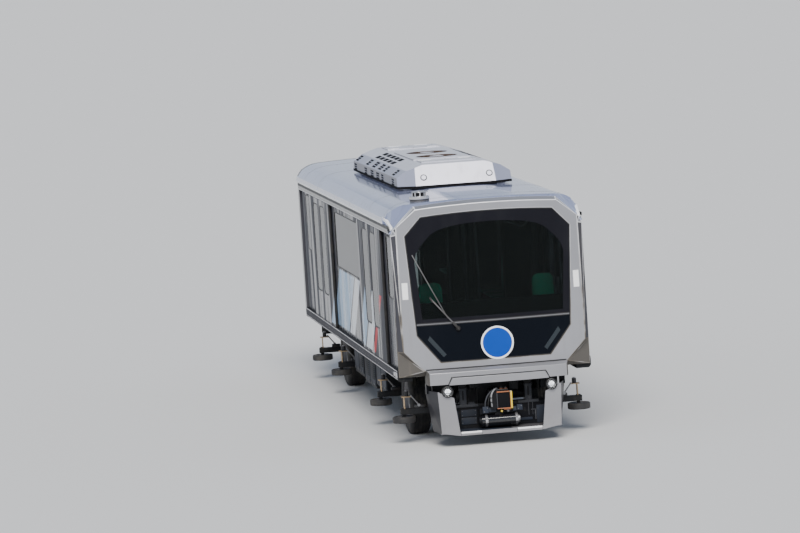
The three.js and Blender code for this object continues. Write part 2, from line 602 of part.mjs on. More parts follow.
// Wiper: boss, arm and blade just in front of the windscreen
const WIPER = {
  pivot: [-500, 1635],
  elbow: [-849, 2060],
  tip: [-1075, 2690],
  foot: [-640, 1790],
  boss: { radius: 32, out: 50, facets: 12 },
  arm: { width: 26, near: 22, far: 40 },
  blade: { width: 16, near: 1, far: 26 },
};
{
  // A flat bar between two points of the front face, from one to another distance in front of it.
  const stroke = ([ya, za], [yb, zb], { width, near, far }) => {
    const along = new THREE.Vector2(yb - ya, zb - za).normalize();
    const side = new THREE.Vector2(-along.y, along.x).multiplyScalar(width / 2);
    const corners = [[ya, za, -1], [yb, zb, -1], [ya, za, 1], [yb, zb, 1]].map(([y, z, s]) => (
      [y + side.x * s, z + side.y * s]
    ));
    const edge = (pair, distance) => pair.map(([y, z]) => [frontX(y, z) + distance, y, z]);
    const layer = (distance) => [edge(corners.slice(0, 2), distance), edge(corners.slice(2), distance)];
    return loftGrids([layer(far), layer(near)]);
  };
  const [py, pz] = WIPER.pivot;
  const { radius, out, facets } = WIPER.boss;
  const boss = barX(radius, frontX(py, pz) - PANE, frontX(py, pz) + out, py, pz, facets);
  const arm = stroke(WIPER.elbow, WIPER.pivot, WIPER.arm);
  const blade = stroke(WIPER.tip, WIPER.foot, WIPER.blade);
  const glass = loftGrids([
    grid(GLASS_ROWS, inFront(GAP - GLASS_RECESS)),
    grid(GLASS_ROWS, inFront(-PANE * 3)),
  ]);
  add('wiper', cut(join(boss, arm, blade), glass), LOOKS.black);
}

// Bench under the windscreen: a box with a seat ledge and a low back
const BENCH = {
  half: 1050,
  outline: [
    [5020, FLOOR_TOP + GAP], [5400, FLOOR_TOP + GAP], [5400, 1980], [5330, 1980], [5300, 1560], [4960, 1560],
    [4960, 1480],
  ],
};
add('bench_front', prismY(polygon(BENCH.outline), -BENCH.half, BENCH.half), LOOKS.seat);

// Equipment hung under the floor between the bogies
const EQUIPMENT = [
  { x: [-1300, -250], y: [-1080, -150], z0: 400 },
  { x: [-1300, -250], y: [150, 1080], z0: 430 },
  { x: [-150, 1050], y: [-1080, 1080], z0: 360 },
  { x: [1150, 2200], y: [-1080, -120], z0: 430 },
  { x: [1150, 2200], y: [120, 1080], z0: 400 },
  { x: [-1300, 2200], y: [-200, 200], z0: 700 },
];
add(
  'underfloor_equipment',
  join(...EQUIPMENT.map(({ x, y, z0 }) => block(...x, ...y, z0, FLOOR_LOW - GAP))),
  LOOKS.black,
);

// Door leaves, each with a thinned window and two hanging shoes that run under the header
for (const [end, centre] of Object.entries(DOOR_CENTRES)) {
  for (const [side, sign] of [['left', 1], ['right', -1]]) {
    for (const [name, along] of [['a', 1], ['b', -1]]) {
      const span = (from, to) => ordered([centre + along * from, centre + along * to]);
      const depth = (from, to) => ordered([sign * from, sign * to]);
      const [x0, x1] = span(LEAF.seam, LEAF.edge);
      const [w0, w1] = span(LEAF_WINDOW.near, LEAF_WINDOW.far);
      const [y0, y1] = depth(LEAF.y0, LEAF.y1);
      const panel = block(x0, x1, y0, y1, LEAF.z0, LEAF.z1);
      const outline = roundedRect(w0, w1, LEAF_WINDOW.z0, LEAF_WINDOW.z1, LEAF_WINDOW.round);
      const [i0, i1] = depth(LEAF.y0 - BLOCK, LEAF.y1 - LEAF_WINDOW.inset - LEAF_WINDOW.pane);
      const [o0, o1] = depth(LEAF.y1 - LEAF_WINDOW.inset, LEAF.y1 + BLOCK);
      const shoes = [LEAF_SHOE.inset, LEAF.edge - LEAF_SHOE.inset - LEAF_SHOE.length].map((from) => {
        const [s0, s1] = span(from, from + LEAF_SHOE.length);
        const [t0, t1] = depth(LEAF.y0, LEAF.y0 + LEAF_SHOE.width);
        return block(s0, s1, t0, t1, LEAF.z1 - BLOCK, HEAD_LOW - RUN_GAP);
      });
      const recesses = [prismY(outline, i0, i1), prismY(outline, o0, o1)];
      add(`door_leaf_${end}_${side}_${name}`, cut(join(panel, ...shoes), ...recesses), LOOKS.dark);
    }
  }
}

// Wheel parts as solids of revolution about the Y axis; columns are radius and distance outwards
const turned = (profile, facets) => solidOf(
  new THREE.LatheGeometry(profile.map(([r, y]) => new THREE.Vector2(r, y)), facets),
);
const TYRE_PROFILE = [
  [TYRE.bead, -TYRE.half + 25], [TYRE.radius - 60, -TYRE.half], [TYRE.radius, -TYRE.half + 38],
  [TYRE.radius, TYRE.half - 38], [TYRE.radius - 60, TYRE.half], [TYRE.bead, TYRE.half - 25],
  [TYRE.bead, -TYRE.half + 25],
];
const RIM_OUT = TYRE.bead - GAP;
const RIM_PROFILE = [
  [SPINDLE + 1, -60], [150, -60], [165, 20], [RIM_OUT - 28, 30], [RIM_OUT - 22, -TYRE.half + 27],
  [RIM_OUT, -TYRE.half + 25], [RIM_OUT, TYRE.half - 25], [RIM_OUT - 40, 60], [170, 50], [130, 100],
  [SPINDLE + 1, 100], [SPINDLE + 1, -60],
];
const GUIDE_PROFILE = [
  [GUIDE.pin + 1, -GUIDE.half + 10], [GUIDE.radius - 45, -GUIDE.half + 10], [GUIDE.radius - 36, -GUIDE.half],
  [GUIDE.radius, -GUIDE.half + 6], [GUIDE.radius, GUIDE.half - 6], [GUIDE.radius - 36, GUIDE.half],
  [GUIDE.radius - 45, GUIDE.half - 10], [GUIDE.pin + 1, GUIDE.half - 10], [GUIDE.pin + 1, -GUIDE.half + 10],
];

// Each bogie: a frame on two air springs, a driven axle, two road wheels and four guide wheels
const BEAM = { y: [560, 660], z0: 520, z1: 640 };
const ARM = { half: 45, z0: 420, z1: 500 };
const BOLSTER = { half: 110, z0: 690, z1: 770 };
const SPRING = { radius: 160, y: 480, pivot: 90 };
const AXLE = { housing: 90, end: 722, bulge: 175, bulgeHalf: 150, reach: 105 };
const MOTOR = { x0: 120, x1: 560, half: 230, z0: 330, z1: 640 };
for (const [end, x] of Object.entries(AXLES)) {
  const z = TYRE.radius;
  const tip = TYRE.y + AXLE.reach;
  const spindles = barY(SPINDLE, -tip, tip, x, z);
  const housing = barY(AXLE.housing, -AXLE.end, AXLE.end, x, z);
  const bulge = barY(AXLE.bulge, -AXLE.bulgeHalf, AXLE.bulgeHalf, x, z);
  const motor = block(x + MOTOR.x0, x + MOTOR.x1, -MOTOR.half, MOTOR.half, MOTOR.z0, MOTOR.z1);
  add(`axle_${end}`, join(spindles, housing, bulge, motor), LOOKS.steel);

  // A block on one side beam's line, between two places along the car and two heights.
  const onBeam = (sign, x0, x1, z0, z1) => {
    const [y0, y1] = ordered(BEAM.y.map((y) => sign * y));
    return block(x0, x1, y0, y1, z0, z1);
  };
  const sides = [1, -1].flatMap((sign) => [
    onBeam(sign, x - GUIDE.x, x + GUIDE.x, BEAM.z0, BEAM.z1),
    onBeam(sign, x - BOLSTER.half, x + BOLSTER.half, BEAM.z1 - BLOCK, BOLSTER.z0 + BLOCK),
    barZ(SPRING.radius, BOLSTER.z1 - BLOCK, FLOOR_LOW - RUN_GAP, x, sign * SPRING.y),
  ]);
  const arms = [1, -1].flatMap((fore) => {
    const at = x + fore * GUIDE.x;
    const reach = GUIDE.y + ARM.half;
    const arm = block(at - ARM.half, at + ARM.half, -reach, reach, ARM.z0, ARM.z1);
    const ends = [1, -1].flatMap((sign) => [
      onBeam(sign, at - ARM.half, at + ARM.half, ARM.z1 - BLOCK, BEAM.z1),
      barZ(GUIDE.pin, GUIDE.z - GUIDE.half, ARM.z0 + BLOCK, at, sign * GUIDE.y),
    ]);
    return [arm, ...ends];
  });
  const bolster = block(x - BOLSTER.half, x + BOLSTER.half, -BEAM.y[1], BEAM.y[1], BOLSTER.z0, BOLSTER.z1);
  const pivot = barZ(SPRING.pivot, BOLSTER.z1 - BLOCK, FLOOR_LOW - RUN_GAP, x, 0);
  const clear = barY(AXLE.housing + GAP, -AXLE.end, AXLE.end, x, z);
  add(`bogie_frame_${end}`, cut(join(...sides, ...arms, bolster, pivot), clear), LOOKS.black);

  for (const [side, sign] of [['left', 1], ['right', -1]]) {
    const parts = [['rim', RIM_PROFILE, LOOKS.steel], ['tyre', TYRE_PROFILE, LOOKS.rubber]];
    for (const [part, profile, look] of parts) {
      const mesh = add(`${part}_${end}_${side}`, turned(profile, TYRE.facets), look);
      mesh.rotation.x = sign > 0 ? 0 : Math.PI;
      mesh.position.set(x, sign * TYRE.y, z);
    }
    for (const [place, fore] of [['fore', 1], ['aft', -1]]) {
      const wheel = add(`guide_wheel_${end}_${side}_${place}`, turned(GUIDE_PROFILE, FACETS), LOOKS.rubber);
      wheel.rotation.x = Math.PI / 2;
      wheel.position.set(x + fore * GUIDE.x, sign * GUIDE.y, GUIDE.z);
    }
  }
}

export default group;
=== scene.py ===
# Looks for the front car of a rubber-tyred automated people mover, in metres.
# +X runs forward, +Y to the car's left and +Z up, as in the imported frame.
import math

import bmesh
import bpy
from mathutils import Matrix, Vector


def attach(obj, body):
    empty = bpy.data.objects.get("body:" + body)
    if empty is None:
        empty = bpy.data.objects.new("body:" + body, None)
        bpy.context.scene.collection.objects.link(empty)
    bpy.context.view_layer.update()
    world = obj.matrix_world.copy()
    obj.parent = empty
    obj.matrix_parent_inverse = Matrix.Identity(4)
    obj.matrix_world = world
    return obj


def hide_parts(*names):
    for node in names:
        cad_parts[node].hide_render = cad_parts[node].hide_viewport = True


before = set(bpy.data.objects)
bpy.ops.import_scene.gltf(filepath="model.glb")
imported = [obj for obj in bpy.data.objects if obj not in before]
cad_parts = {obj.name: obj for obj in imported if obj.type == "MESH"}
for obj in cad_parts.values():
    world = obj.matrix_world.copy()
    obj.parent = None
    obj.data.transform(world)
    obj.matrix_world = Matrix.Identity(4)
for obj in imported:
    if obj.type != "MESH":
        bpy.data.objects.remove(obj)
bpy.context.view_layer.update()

scene = bpy.context.scene
SIDES = {"left": 1, "right": -1}
SIGNS = (1, -1)

# Sizes that follow the solids
WALL_Y = 1.31
ON_WALL, ON_BAND, ON_GUTTER = 1.3102, 1.3602, 1.3752
REAR_X, FRONT_X = -4.97, 5.512
DOOR_X = {"front": 3.3, "rear": -2.42}
LEAF_Y, LEAF_Z = (1.32, 1.36), (1.096, 2.984)
LEAF_SEAM, LEAF_EDGE = 0.003, 1.24
PANE_X, PANE_Z, PANE_ROUND = (0.11, 0.7), (1.53, 2.9), 0.11
WINDOWS = {
    "front": (4.79, 5.34, 2.06, 2.93), "middle": (-0.88, 1.76, 2.06, 2.89),
    "rear": (-4.46, -3.91, 2.06, 2.93),
}
AXLE_X = {"front": 3.84, "rear": -2.96}
AXLE_Z = 0.48
WHEEL_Y = 0.89
TYRE = {"radius": 0.48, "half": 0.15, "bead": 0.292}
GUIDE = {"x": 1.18, "y": 1.24, "z": 0.35}
LAMP = {"x": 5.85, "y": 0.727, "z": 0.783}
ROOF_LINE = [(1.337, 3.2), (1.31, 3.245), (1.27, 3.287), (1.216, 3.321), (1.155, 3.348), (1.085, 3.367)]
ROOF_MIDDLE, ROOF_CROWN = 3.38, 0.03
UNIT = {"rear": -2.11, "front": 3.04, "half": 0.585, "corner": 0.14, "z": 3.415}
UNIT_LEAN = 0.175 / 0.305
UNIT_SECTION = [(0.83, 3.415), (0.83, 3.57), (0.69, 3.665), (0.45, 3.74)]
UNIT_TOP = 3.7502
SMALL_SLOTS = [(-1.86, -1.54), (-0.7, -0.38), (-0.03, 0.34), (0.6, 0.96), (1.14, 1.42)]
LARGE_SLOTS = [(x, x + 0.21) for x in (-0.6, -0.2, 0.2, 0.6, 1.0)]
FAN_X = {"front": 1.23, "rear": 0.27}
FAN_Z = 3.695
VENT_AT = Vector((5.08, -0.84, 3.365))
EDGE_LINE = [(5.03, 1.35, 3.18), (5.25, 1.333, 3.144), (5.4, 1.323, 3.09), (5.5, 1.314, 3.054)]
FACE = {"x": 5.665, "bow": 0.07, "lean": 0.035, "top": 3.31}
BUMPER = {"half": 0.985, "front": 5.888, "bow": 0.045}
COUPLER_Z = 0.62
POLE_Z = (1.1045, 3.0895)


def front_x(y, z):
    """The bowed front face, which leans back towards the roof."""
    return FACE["x"] - FACE["bow"] * (y / WALL_Y) ** 2 + FACE["lean"] * (FACE["top"] - z)


def bumper_x(y, z):
    """The bumper's bowed front face."""
    return BUMPER["front"] - BUMPER["bow"] * (y / BUMPER["half"]) ** 2


def roof_z(y):
    """The crown of the roof, between the two shoulders."""
    return ROOF_MIDDLE + ROOF_CROWN * (1 - y**2)


def edge_line(x):
    """Half width and height of the bright strip beside the sloping front of the roof."""
    for (x0, y0, z0), (x1, y1, z1) in zip(EDGE_LINE, EDGE_LINE[1:]):
        if x <= x1:
            break
    part = (x - x0) / (x1 - x0)
    return y0 + part * (y1 - y0), z0 + part * (z1 - z0)


# Camera where the photograph was taken from
CAMERA_PLACE = (69.9565, -10.0064, 8.1306)
CAMERA_TURN = ((0.14016, 0.98804, -0.06422), (-0.07608, 0.07542, 0.99425), (0.9872, -0.13447, 0.08574))
camera = bpy.data.objects.new("camera", bpy.data.cameras.new("camera"))
scene.collection.objects.link(camera)
camera.matrix_world = Matrix.Translation(CAMERA_PLACE) @ Matrix(CAMERA_TURN).transposed().to_4x4()
camera.data.sensor_width = 36
camera.data.lens = 212.694
camera.data.clip_start = 1
camera.data.clip_end = 3000
scene.camera = camera


# Shader nodes
def opaque(value):
    """A colour with its alpha, and any other value as it is."""
    return (*value, 1) if isinstance(value, tuple) else value


def add_node(tree, kind, inputs=None, **settings):
    """A node with its settings, and its inputs set to values or joined to other nodes' outputs."""
    made = tree.nodes.new(kind)
    for key, value in settings.items():
        setattr(made, key, value)
    for key, value in (inputs or {}).items():
        if isinstance(value, bpy.types.NodeSocket):
            tree.links.new(value, made.inputs[key])
        else:
            made.inputs[key].default_value = value
    return made


class Effect:
    """A shader group in the making: what it is given, and short ways to add nodes to it."""

    def __init__(self, name, outputs=("Colour", "Roughness", "Height"), **inputs):
        self.tree = bpy.data.node_groups.new(name, "ShaderNodeTree")
        self.tree.interface.new_socket(name="Place", in_out="INPUT", socket_type="NodeSocketVector")
        for label, value in inputs.items():
            self.socket(label, "INPUT", isinstance(value, tuple)).default_value = opaque(value)
        for label in outputs:
            self.socket(label, "OUTPUT", label == "Colour")
        self.given = self.tree.nodes.new("NodeGroupInput").outputs
        self.taken = self.tree.nodes.new("NodeGroupOutput").inputs

    def socket(self, label, way, coloured):
        kind = "NodeSocketColor" if coloured else "NodeSocketFloat"
        return self.tree.interface.new_socket(name=label.replace("_", " "), in_out=way, socket_type=kind)

    def node(self, kind, inputs, **settings):
        return add_node(self.tree, kind, inputs, **settings).outputs

    def maths(self, operation, first, second, third=0.0):
        return self.node("ShaderNodeMath", {0: first, 1: second, 2: third}, operation=operation)[0]

    def times(self, first, second):
        return self.maths("MULTIPLY", first, second)

    def times_plus(self, first, second, third):
        return self.maths("MULTIPLY_ADD", first, second, third)

    def mixed(self, factor, first, second, how="MIX"):
        inputs = {0: factor, 6: first, 7: second}
        return self.node("ShaderNodeMix", inputs, data_type="RGBA", blend_type=how)[2]

    def ramp(self, value, low, high, to_low=0.0, to_high=1.0):
        inputs = {0: value, 1: low, 2: high, 3: to_low, 4: to_high}
        return self.node("ShaderNodeMapRange", inputs, interpolation_type="SMOOTHSTEP")[0]

    def noise(self, scale, detail, stretch=None):
        place = self.given["Place"]
        if stretch:
            place = self.node("ShaderNodeMapping", {"Vector": place, "Scale": stretch})[0]
        return self.node("ShaderNodeTexNoise", {"Vector": place, "Scale": scale, "Detail": detail})[0]

    def put_out(self, **values):
        for label, value in values.items():
            self.tree.links.new(value, self.taken[label])
        return self.tree


def paint_effect():
    """Sprayed paint: slow shade changes, rain streaks, dull ribbons down the sides, road dust and peel."""
    coat = Effect(
        "paint", Colour=(0.4, 0.4, 0.4), Roughness=0.3, Streaks=0.2, Dust=0.3, Dust_Top=1.3,
        Dust_Colour=(0.16, 0.14, 0.115), Ribbons=0.0,
    )
    given = coat.given
    cloud = coat.ramp(coat.noise(0.9, 4), 0.3, 0.7, 0.94, 1.05)
    shade = coat.node("ShaderNodeCombineColor", {0: cloud, 1: cloud, 2: cloud})[0]
    base = coat.mixed(1.0, given["Colour"], shade, "MULTIPLY")
    streak = coat.times(coat.ramp(coat.noise(5.0, 5, (1.6, 1.6, 0.14)), 0.52, 0.78), given["Streaks"])
    height = coat.node("ShaderNodeSeparateXYZ", {0: given["Place"]})[2]
    low = coat.node("ShaderNodeMapRange", {0: height, 1: given["Dust Top"], 2: 0.15})[0]
    patch = coat.ramp(coat.noise(3.2, 6), 0.25, 0.8, 0.35, 1.0)
    grime = coat.maths("MAXIMUM", coat.times(coat.times(low, patch), given["Dust"]), streak)
    ribbon = coat.ramp(coat.noise(3.4, 4, (1, 1, 0.05)), 0.4, 0.6)
    gloss = coat.times_plus(ribbon, given["Ribbons"], given["Roughness"])
    gloss = coat.times_plus(coat.noise(24, 3), 0.05, gloss)
    peel = coat.times(coat.noise(160, 2), 0.05)
    return coat.put_out(
        Colour=coat.mixed(grime, base, given["Dust Colour"]),
        Roughness=coat.times_plus(grime, 0.35, gloss),
        Height=coat.times_plus(coat.noise(2.2, 2), 0.6, peel),
    )


def worn_effect():
    """Bare or dark-painted metal: cast grain, rubbed bright spots and brown grime."""
    metal = Effect(
        "worn metal", Colour=(0.1, 0.1, 0.1), Roughness=0.5, Rubbed=0.3, Grime=0.4,
        Grime_Colour=(0.05, 0.035, 0.022),
    )
    given = metal.given
    rubbed = metal.times(metal.ramp(metal.noise(14, 8), 0.58, 0.72), given["Rubbed"])
    grime = metal.times(metal.ramp(metal.noise(4.5, 6), 0.42, 0.7), given["Grime"])
    bright = metal.mixed(rubbed, given["Colour"], (0.34, 0.33, 0.31, 1))
    grain = metal.noise(90, 4)
    return metal.put_out(
        Colour=metal.mixed(grime, bright, given["Grime Colour"]),
        Roughness=metal.times_plus(grime, 0.3, metal.times_plus(grain, 0.12, given["Roughness"])),
        Height=metal.times_plus(grain, 0.5, metal.times(metal.noise(9, 4), 0.5)),
    )


def rubber_effect():
    """Moulded rubber: a dull bloom, brown dust in patches and fine grain."""
    rubber = Effect(
        "rubber", Colour=(0.02, 0.02, 0.02), Roughness=0.7, Dust=0.4,
        Dust_Colour=(0.11, 0.098, 0.08), Grain=220.0,
    )
    given = rubber.given
    dust = rubber.times(rubber.ramp(rubber.noise(6.5, 7), 0.38, 0.75), given["Dust"])
    grain = rubber.noise(given["Grain"], 3)
    return rubber.put_out(
        Colour=rubber.mixed(dust, given["Colour"], given["Dust Colour"]),
        Roughness=rubber.times_plus(dust, 0.2, rubber.times_plus(grain, 0.15, given["Roughness"])),
        Height=grain,
    )


def glaze_effect():
    """Glass and gloss panels: wiper smears, dried drops and a faint waviness."""
    glass = Effect("glaze", Colour=(0.05, 0.06, 0.07), Roughness=0.03, Smear=0.1)
    given = glass.given
    smear = glass.times(glass.ramp(glass.noise(3.0, 6, (1, 1, 0.35)), 0.45, 0.8), given["Smear"])
    cells = glass.node("ShaderNodeTexVoronoi", {"Vector": given["Place"], "Scale": 26.0})[0]
    spots = glass.times(glass.ramp(cells, 0.22, 0.12), glass.times(given["Smear"], 0.6))
    film = glass.maths("MAXIMUM", smear, spots)
    return glass.put_out(
        Colour=glass.mixed(film, given["Colour"], (0.16, 0.165, 0.17, 1)),
        Roughness=glass.times_plus(film, 0.5, given["Roughness"]),
        Height=glass.noise(1.4, 2),
    )


def moulding_effect():
    """Moulded plastic or floor covering: flecks, rubbed patches and a fine pebbled surface."""
    plastic = Effect("moulding", Colour=(0.1, 0.2, 0.4), Fleck=(0.2, 0.3, 0.5), Roughness=0.4)
    given = plastic.given
    fleck = plastic.times(plastic.ramp(plastic.noise(130, 2), 0.56, 0.64), 0.5)
    wear = plastic.ramp(plastic.noise(5, 5), 0.4, 0.8, 0.0, 0.12)
    return plastic.put_out(
        Colour=plastic.mixed(fleck, given["Colour"], given["Fleck"]),
        Roughness=plastic.maths("ADD", given["Roughness"], wear),
        Height=plastic.noise(320, 2),
    )


BAND_Z = (1.14, 2.035)
PALE_BLUE, PALE_WHITE, RED = (0.36, 0.5, 0.66, 1), (0.72, 0.76, 0.8, 1), (0.55, 0.03, 0.045, 1)
BANDS = [
    (-2.9, -1.2, PALE_BLUE), (-1.1, -0.55, PALE_WHITE), (0.35, 1.0, PALE_BLUE), (1.1, 1.75, PALE_WHITE),
    (1.85, 2.1, RED),
]


def bands_effect():
    """The plain side design: slanting bands of pale blue, white and red low on the body side."""
    design = Effect("side bands", ("Colour",), Colour=(0.1, 0.1, 0.1))
    x, _, z = design.node("ShaderNodeSeparateXYZ", {0: design.given["Place"]})
    slant = design.times_plus(z, -1.1, x)
    bottom, top = BAND_Z
    low = design.times(design.ramp(z, bottom, bottom + 0.005), design.ramp(z, top, top - 0.005))
    colour = design.given["Colour"]
    for start, end, tint in BANDS:
        band = design.times(design.ramp(slant, start, start + 0.006), design.ramp(slant, end, end - 0.006))
        colour = design.mixed(design.times(band, low), colour, tint)
    return design.put_out(Colour=colour)


PAINT, WORN, RUBBER = paint_effect(), worn_effect(), rubber_effect()
GLAZE, MOULDING, SIDE_BANDS = glaze_effect(), moulding_effect(), bands_effect()


def finish(kind, name, slot, colour, bump=0.05, depth=0.002, bands=False, **values):
    """A material whose colour, roughness and relief come from an effect. Values go to it or the shader."""
    made = bpy.data.materials.new(name)
    made.use_nodes = True
    tree = made.node_tree
    shader = tree.nodes["Principled BSDF"]
    inputs = {"Place": add_node(tree, "ShaderNodeTexCoord").outputs["Object"], "Colour": opaque(colour)}
    group = add_node(tree, "ShaderNodeGroup", inputs, node_tree=kind)
    for key, value in values.items():
        label = key.replace("_", " ")
        owner = group if label in group.inputs else shader
        owner.inputs[label].default_value = opaque(value)
    if bands:
        side = add_node(tree, "ShaderNodeGroup", inputs, node_tree=SIDE_BANDS)
        tree.links.new(side.outputs["Colour"], group.inputs["Colour"])
    tree.links.new(group.outputs["Colour"], shader.inputs["Base Color"])
    tree.links.new(group.outputs["Roughness"], shader.inputs["Roughness"])
    relief = {"Strength": bump, "Distance": depth, "Height": group.outputs["Height"]}
    tree.links.new(add_node(tree, "ShaderNodeBump", relief).outputs[0], shader.inputs["Normal"])
    made.diffuse_color = opaque(colour)
    return made


SILVER = finish(
    PAINT, "warm silver paint", "front_silver", (0.345, 0.345, 0.365),
    Roughness=0.3, Streaks=0.1, Dust=0.35, Metallic=0.55, Coat_Weight=0.5, Coat_Roughness=0.12)
# Darker, browner silver: road dust together with painted shade on faces that look down or aside.
DUST_AND_SHADE = finish(
    PAINT, "road-dusted silver with painted shade", "front_silver", (0.08, 0.073, 0.065),
    Roughness=0.5, Streaks=0.3, Dust=0.35, Dust_Top=1.8, Metallic=0.1)
# Dark grey paint for the sill band and door trims, also used as painted shade on the mask's inner edges.
GREY_PAINT_AND_SHADE = finish(
    PAINT, "dark grey paint and painted shade", "front_silver", (0.065, 0.065, 0.075),
    Roughness=0.6, Streaks=0.15, Dust=0.2, Dust_Top=1.8, Specular_IOR_Level=0.06)
# Painted highlight: pale paint on the rounded edges of the mask, darkened towards the bottom so that it shows
# mostly along the top.
HIGHLIGHT_RIM = finish(
    PAINT, "painted highlight rim", "front_silver", (0.86, 0.86, 0.88), bump=0.03,
    Roughness=0.3, Streaks=0.05, Dust=2.4, Dust_Top=3.4, Metallic=0.3)
SIDE = finish(
    PAINT, "dark mirror-gloss side paint", "side_panel", (0.036, 0.038, 0.05), bump=0.25, depth=0.006,
    bands=True, Roughness=0.09, Streaks=0.14, Dust=0.3, Dust_Top=1.5, Ribbons=0.5, Specular_IOR_Level=0.3)
END_PAINT = finish(
    PAINT, "dark gloss end paint", "side_panel", (0.055, 0.056, 0.06), bump=0.06,
    Roughness=0.14, Streaks=0.2, Dust=0.35, Dust_Top=1.6, Metallic=0.35)
FLANK = finish(
    PAINT, "dark satin flank paint", "side_panel", (0.014, 0.015, 0.021),
    Roughness=0.3, Streaks=0.1, Dust=0.12, Dust_Top=0.9, Specular_IOR_Level=0.2)
ROOF = finish(
    PAINT, "blue-grey roof paint", "roof_paint", (0.42, 0.47, 0.68), bump=0.08,
    Roughness=0.22, Streaks=0.16, Dust=0.0, Metallic=0.55, Coat_Weight=0.9, Coat_Roughness=0.06)
HOUSING = finish(
    PAINT, "pale lilac-silver unit paint", "hvac_silver", (0.68, 0.68, 0.76),
    Roughness=0.3, Streaks=0.14, Dust=0.0, Metallic=0.35, Coat_Weight=0.6, Coat_Roughness=0.12)
# Darker copies of the unit paint for its shoulders and sides: painted shade.
UNIT_SHOULDER_SHADE = finish(
    PAINT, "grey-blue unit paint with painted shade", "hvac_silver", (0.33, 0.35, 0.45),
    Roughness=0.32, Streaks=0.16, Dust=0.0, Metallic=0.3, Coat_Weight=0.3, Coat_Roughness=0.15)
UNIT_SIDE_SHADE = finish(
    PAINT, "unit paint with painted shade", "hvac_silver", (0.2, 0.2, 0.235),
    Roughness=0.35, Streaks=0.2, Dust=0.0, Metallic=0.2)
BRIGHT = finish(
    PAINT, "bright trim", "bare_steel", (0.62, 0.62, 0.64),
    Roughness=0.22, Streaks=0.15, Dust=0.25, Metallic=0.8)
DISC = finish(
    PAINT, "plain disc blue", "front_silver", (0.002, 0.055, 0.36), bump=0.03,
    Roughness=0.35, Streaks=0.02, Dust=0.0, Specular_IOR_Level=0.2)
STRIP_PAINT = finish(
    PAINT, "grey strip paint", "front_silver", (0.17, 0.17, 0.18),
    Roughness=0.35, Streaks=0.1, Dust=0.1, Dust_Top=0.9, Metallic=0.3)
CLAMP = finish(
    PAINT, "light grey clamp paint", "bare_steel", (0.42, 0.42, 0.44),
    Roughness=0.4, Streaks=0.2, Dust=0.3, Dust_Top=1.0, Metallic=0.4)
FRAME = finish(
    WORN, "black frame paint", "black_frame", (0.014, 0.015, 0.017), bump=0.25, depth=0.003,
    Roughness=0.48, Rubbed=0.06, Grime=0.35, Grime_Colour=(0.032, 0.028, 0.023), Specular_IOR_Level=0.2)
BLACK = finish(
    WORN, "black coupler paint", "black_frame", (0.007, 0.0075, 0.01), bump=0.2, depth=0.003,
    Roughness=0.42, Rubbed=0.03, Grime=0.3, Grime_Colour=(0.014, 0.013, 0.012), Specular_IOR_Level=0.12)
BAY = finish(
    WORN, "blue-grey bay panel", "black_frame", (0.022, 0.028, 0.042), bump=0.2,
    Roughness=0.5, Rubbed=0.05, Grime=0.3, Grime_Colour=(0.03, 0.028, 0.026), Specular_IOR_Level=0.2)
# Black that paints the shade in hollows, slots, gaps and grooves.
DARK = finish(
    WORN, "unlit hollow black", "black_frame", (0.006, 0.006, 0.008), bump=0.2,
    Roughness=0.7, Rubbed=0.0, Grime=0.3, Grime_Colour=(0.01, 0.008, 0.007), Specular_IOR_Level=0.1)
BRACKET = finish(
    WORN, "grey bay bracket", "black_frame", (0.05, 0.053, 0.062), bump=0.2,
    Roughness=0.5, Rubbed=0.1, Grime=0.3, Grime_Colour=(0.03, 0.028, 0.026), Specular_IOR_Level=0.25)
FAN = finish(
    WORN, "brown fan plastic", "black_frame", (0.1, 0.062, 0.042), bump=0.2,
    Roughness=0.5, Rubbed=0.1, Grime=0.4)
CAST = finish(
    WORN, "cast axle iron", "cast_axle", (0.05, 0.05, 0.053), bump=0.5, depth=0.004,
    Roughness=0.5, Rubbed=0.15, Grime=0.5, Metallic=0.5)
STEEL = finish(
    WORN, "machined steel", "bare_steel", (0.3, 0.3, 0.31), bump=0.12,
    Roughness=0.3, Rubbed=0.25, Grime=0.25, Metallic=0.9)
DULL = finish(
    WORN, "dull grey bracket", "bare_steel", (0.13, 0.13, 0.135), bump=0.2,
    Roughness=0.45, Rubbed=0.2, Grime=0.35, Metallic=0.6)
WHEEL = finish(
    WORN, "grey wheel paint", "wheel_steel", (0.16, 0.16, 0.17), bump=0.2,
    Roughness=0.4, Rubbed=0.15, Grime=0.45, Metallic=0.4)
ORANGE = finish(
    WORN, "orange coupler paint", "bare_steel", (0.38, 0.13, 0.05), bump=0.2,
    Roughness=0.4, Rubbed=0.25, Grime=0.4)
YELLOW = finish(
    WORN, "yellow guard paint", "bare_steel", (0.8, 0.56, 0.04), bump=0.2,
    Roughness=0.4, Rubbed=0.1, Grime=0.2)
BEIGE = finish(
    WORN, "beige primed bracket", "bare_steel", (0.5, 0.36, 0.21), bump=0.2,
    Roughness=0.55, Rubbed=0.12, Grime=0.3)
TYRE_RUBBER = finish(RUBBER, "tyre rubber", "tyre", (0.014, 0.014, 0.015), bump=0.4, Roughness=0.72, Dust=0.5)
GUIDE_RUBBER = finish(
    RUBBER, "guide wheel rubber", "guide_tyre", (0.02, 0.02, 0.021), bump=0.3, Roughness=0.6, Dust=0.4)
SEAL = finish(
    RUBBER, "black seal rubber", "wiper_black", (0.008, 0.008, 0.009), bump=0.15, Roughness=0.42, Dust=0.15)
HOSE = finish(
    RUBBER, "grey pipe sleeve", "wiper_black", (0.26, 0.26, 0.27), bump=0.2, Roughness=0.4, Dust=0.15)
BELLOWS = finish(
    RUBBER, "grey bellows cloth", "bellows_rubber", (0.035, 0.036, 0.04), bump=0.5,
    Roughness=0.65, Dust=0.35, Grain=420.0, Sheen_Weight=0.2)
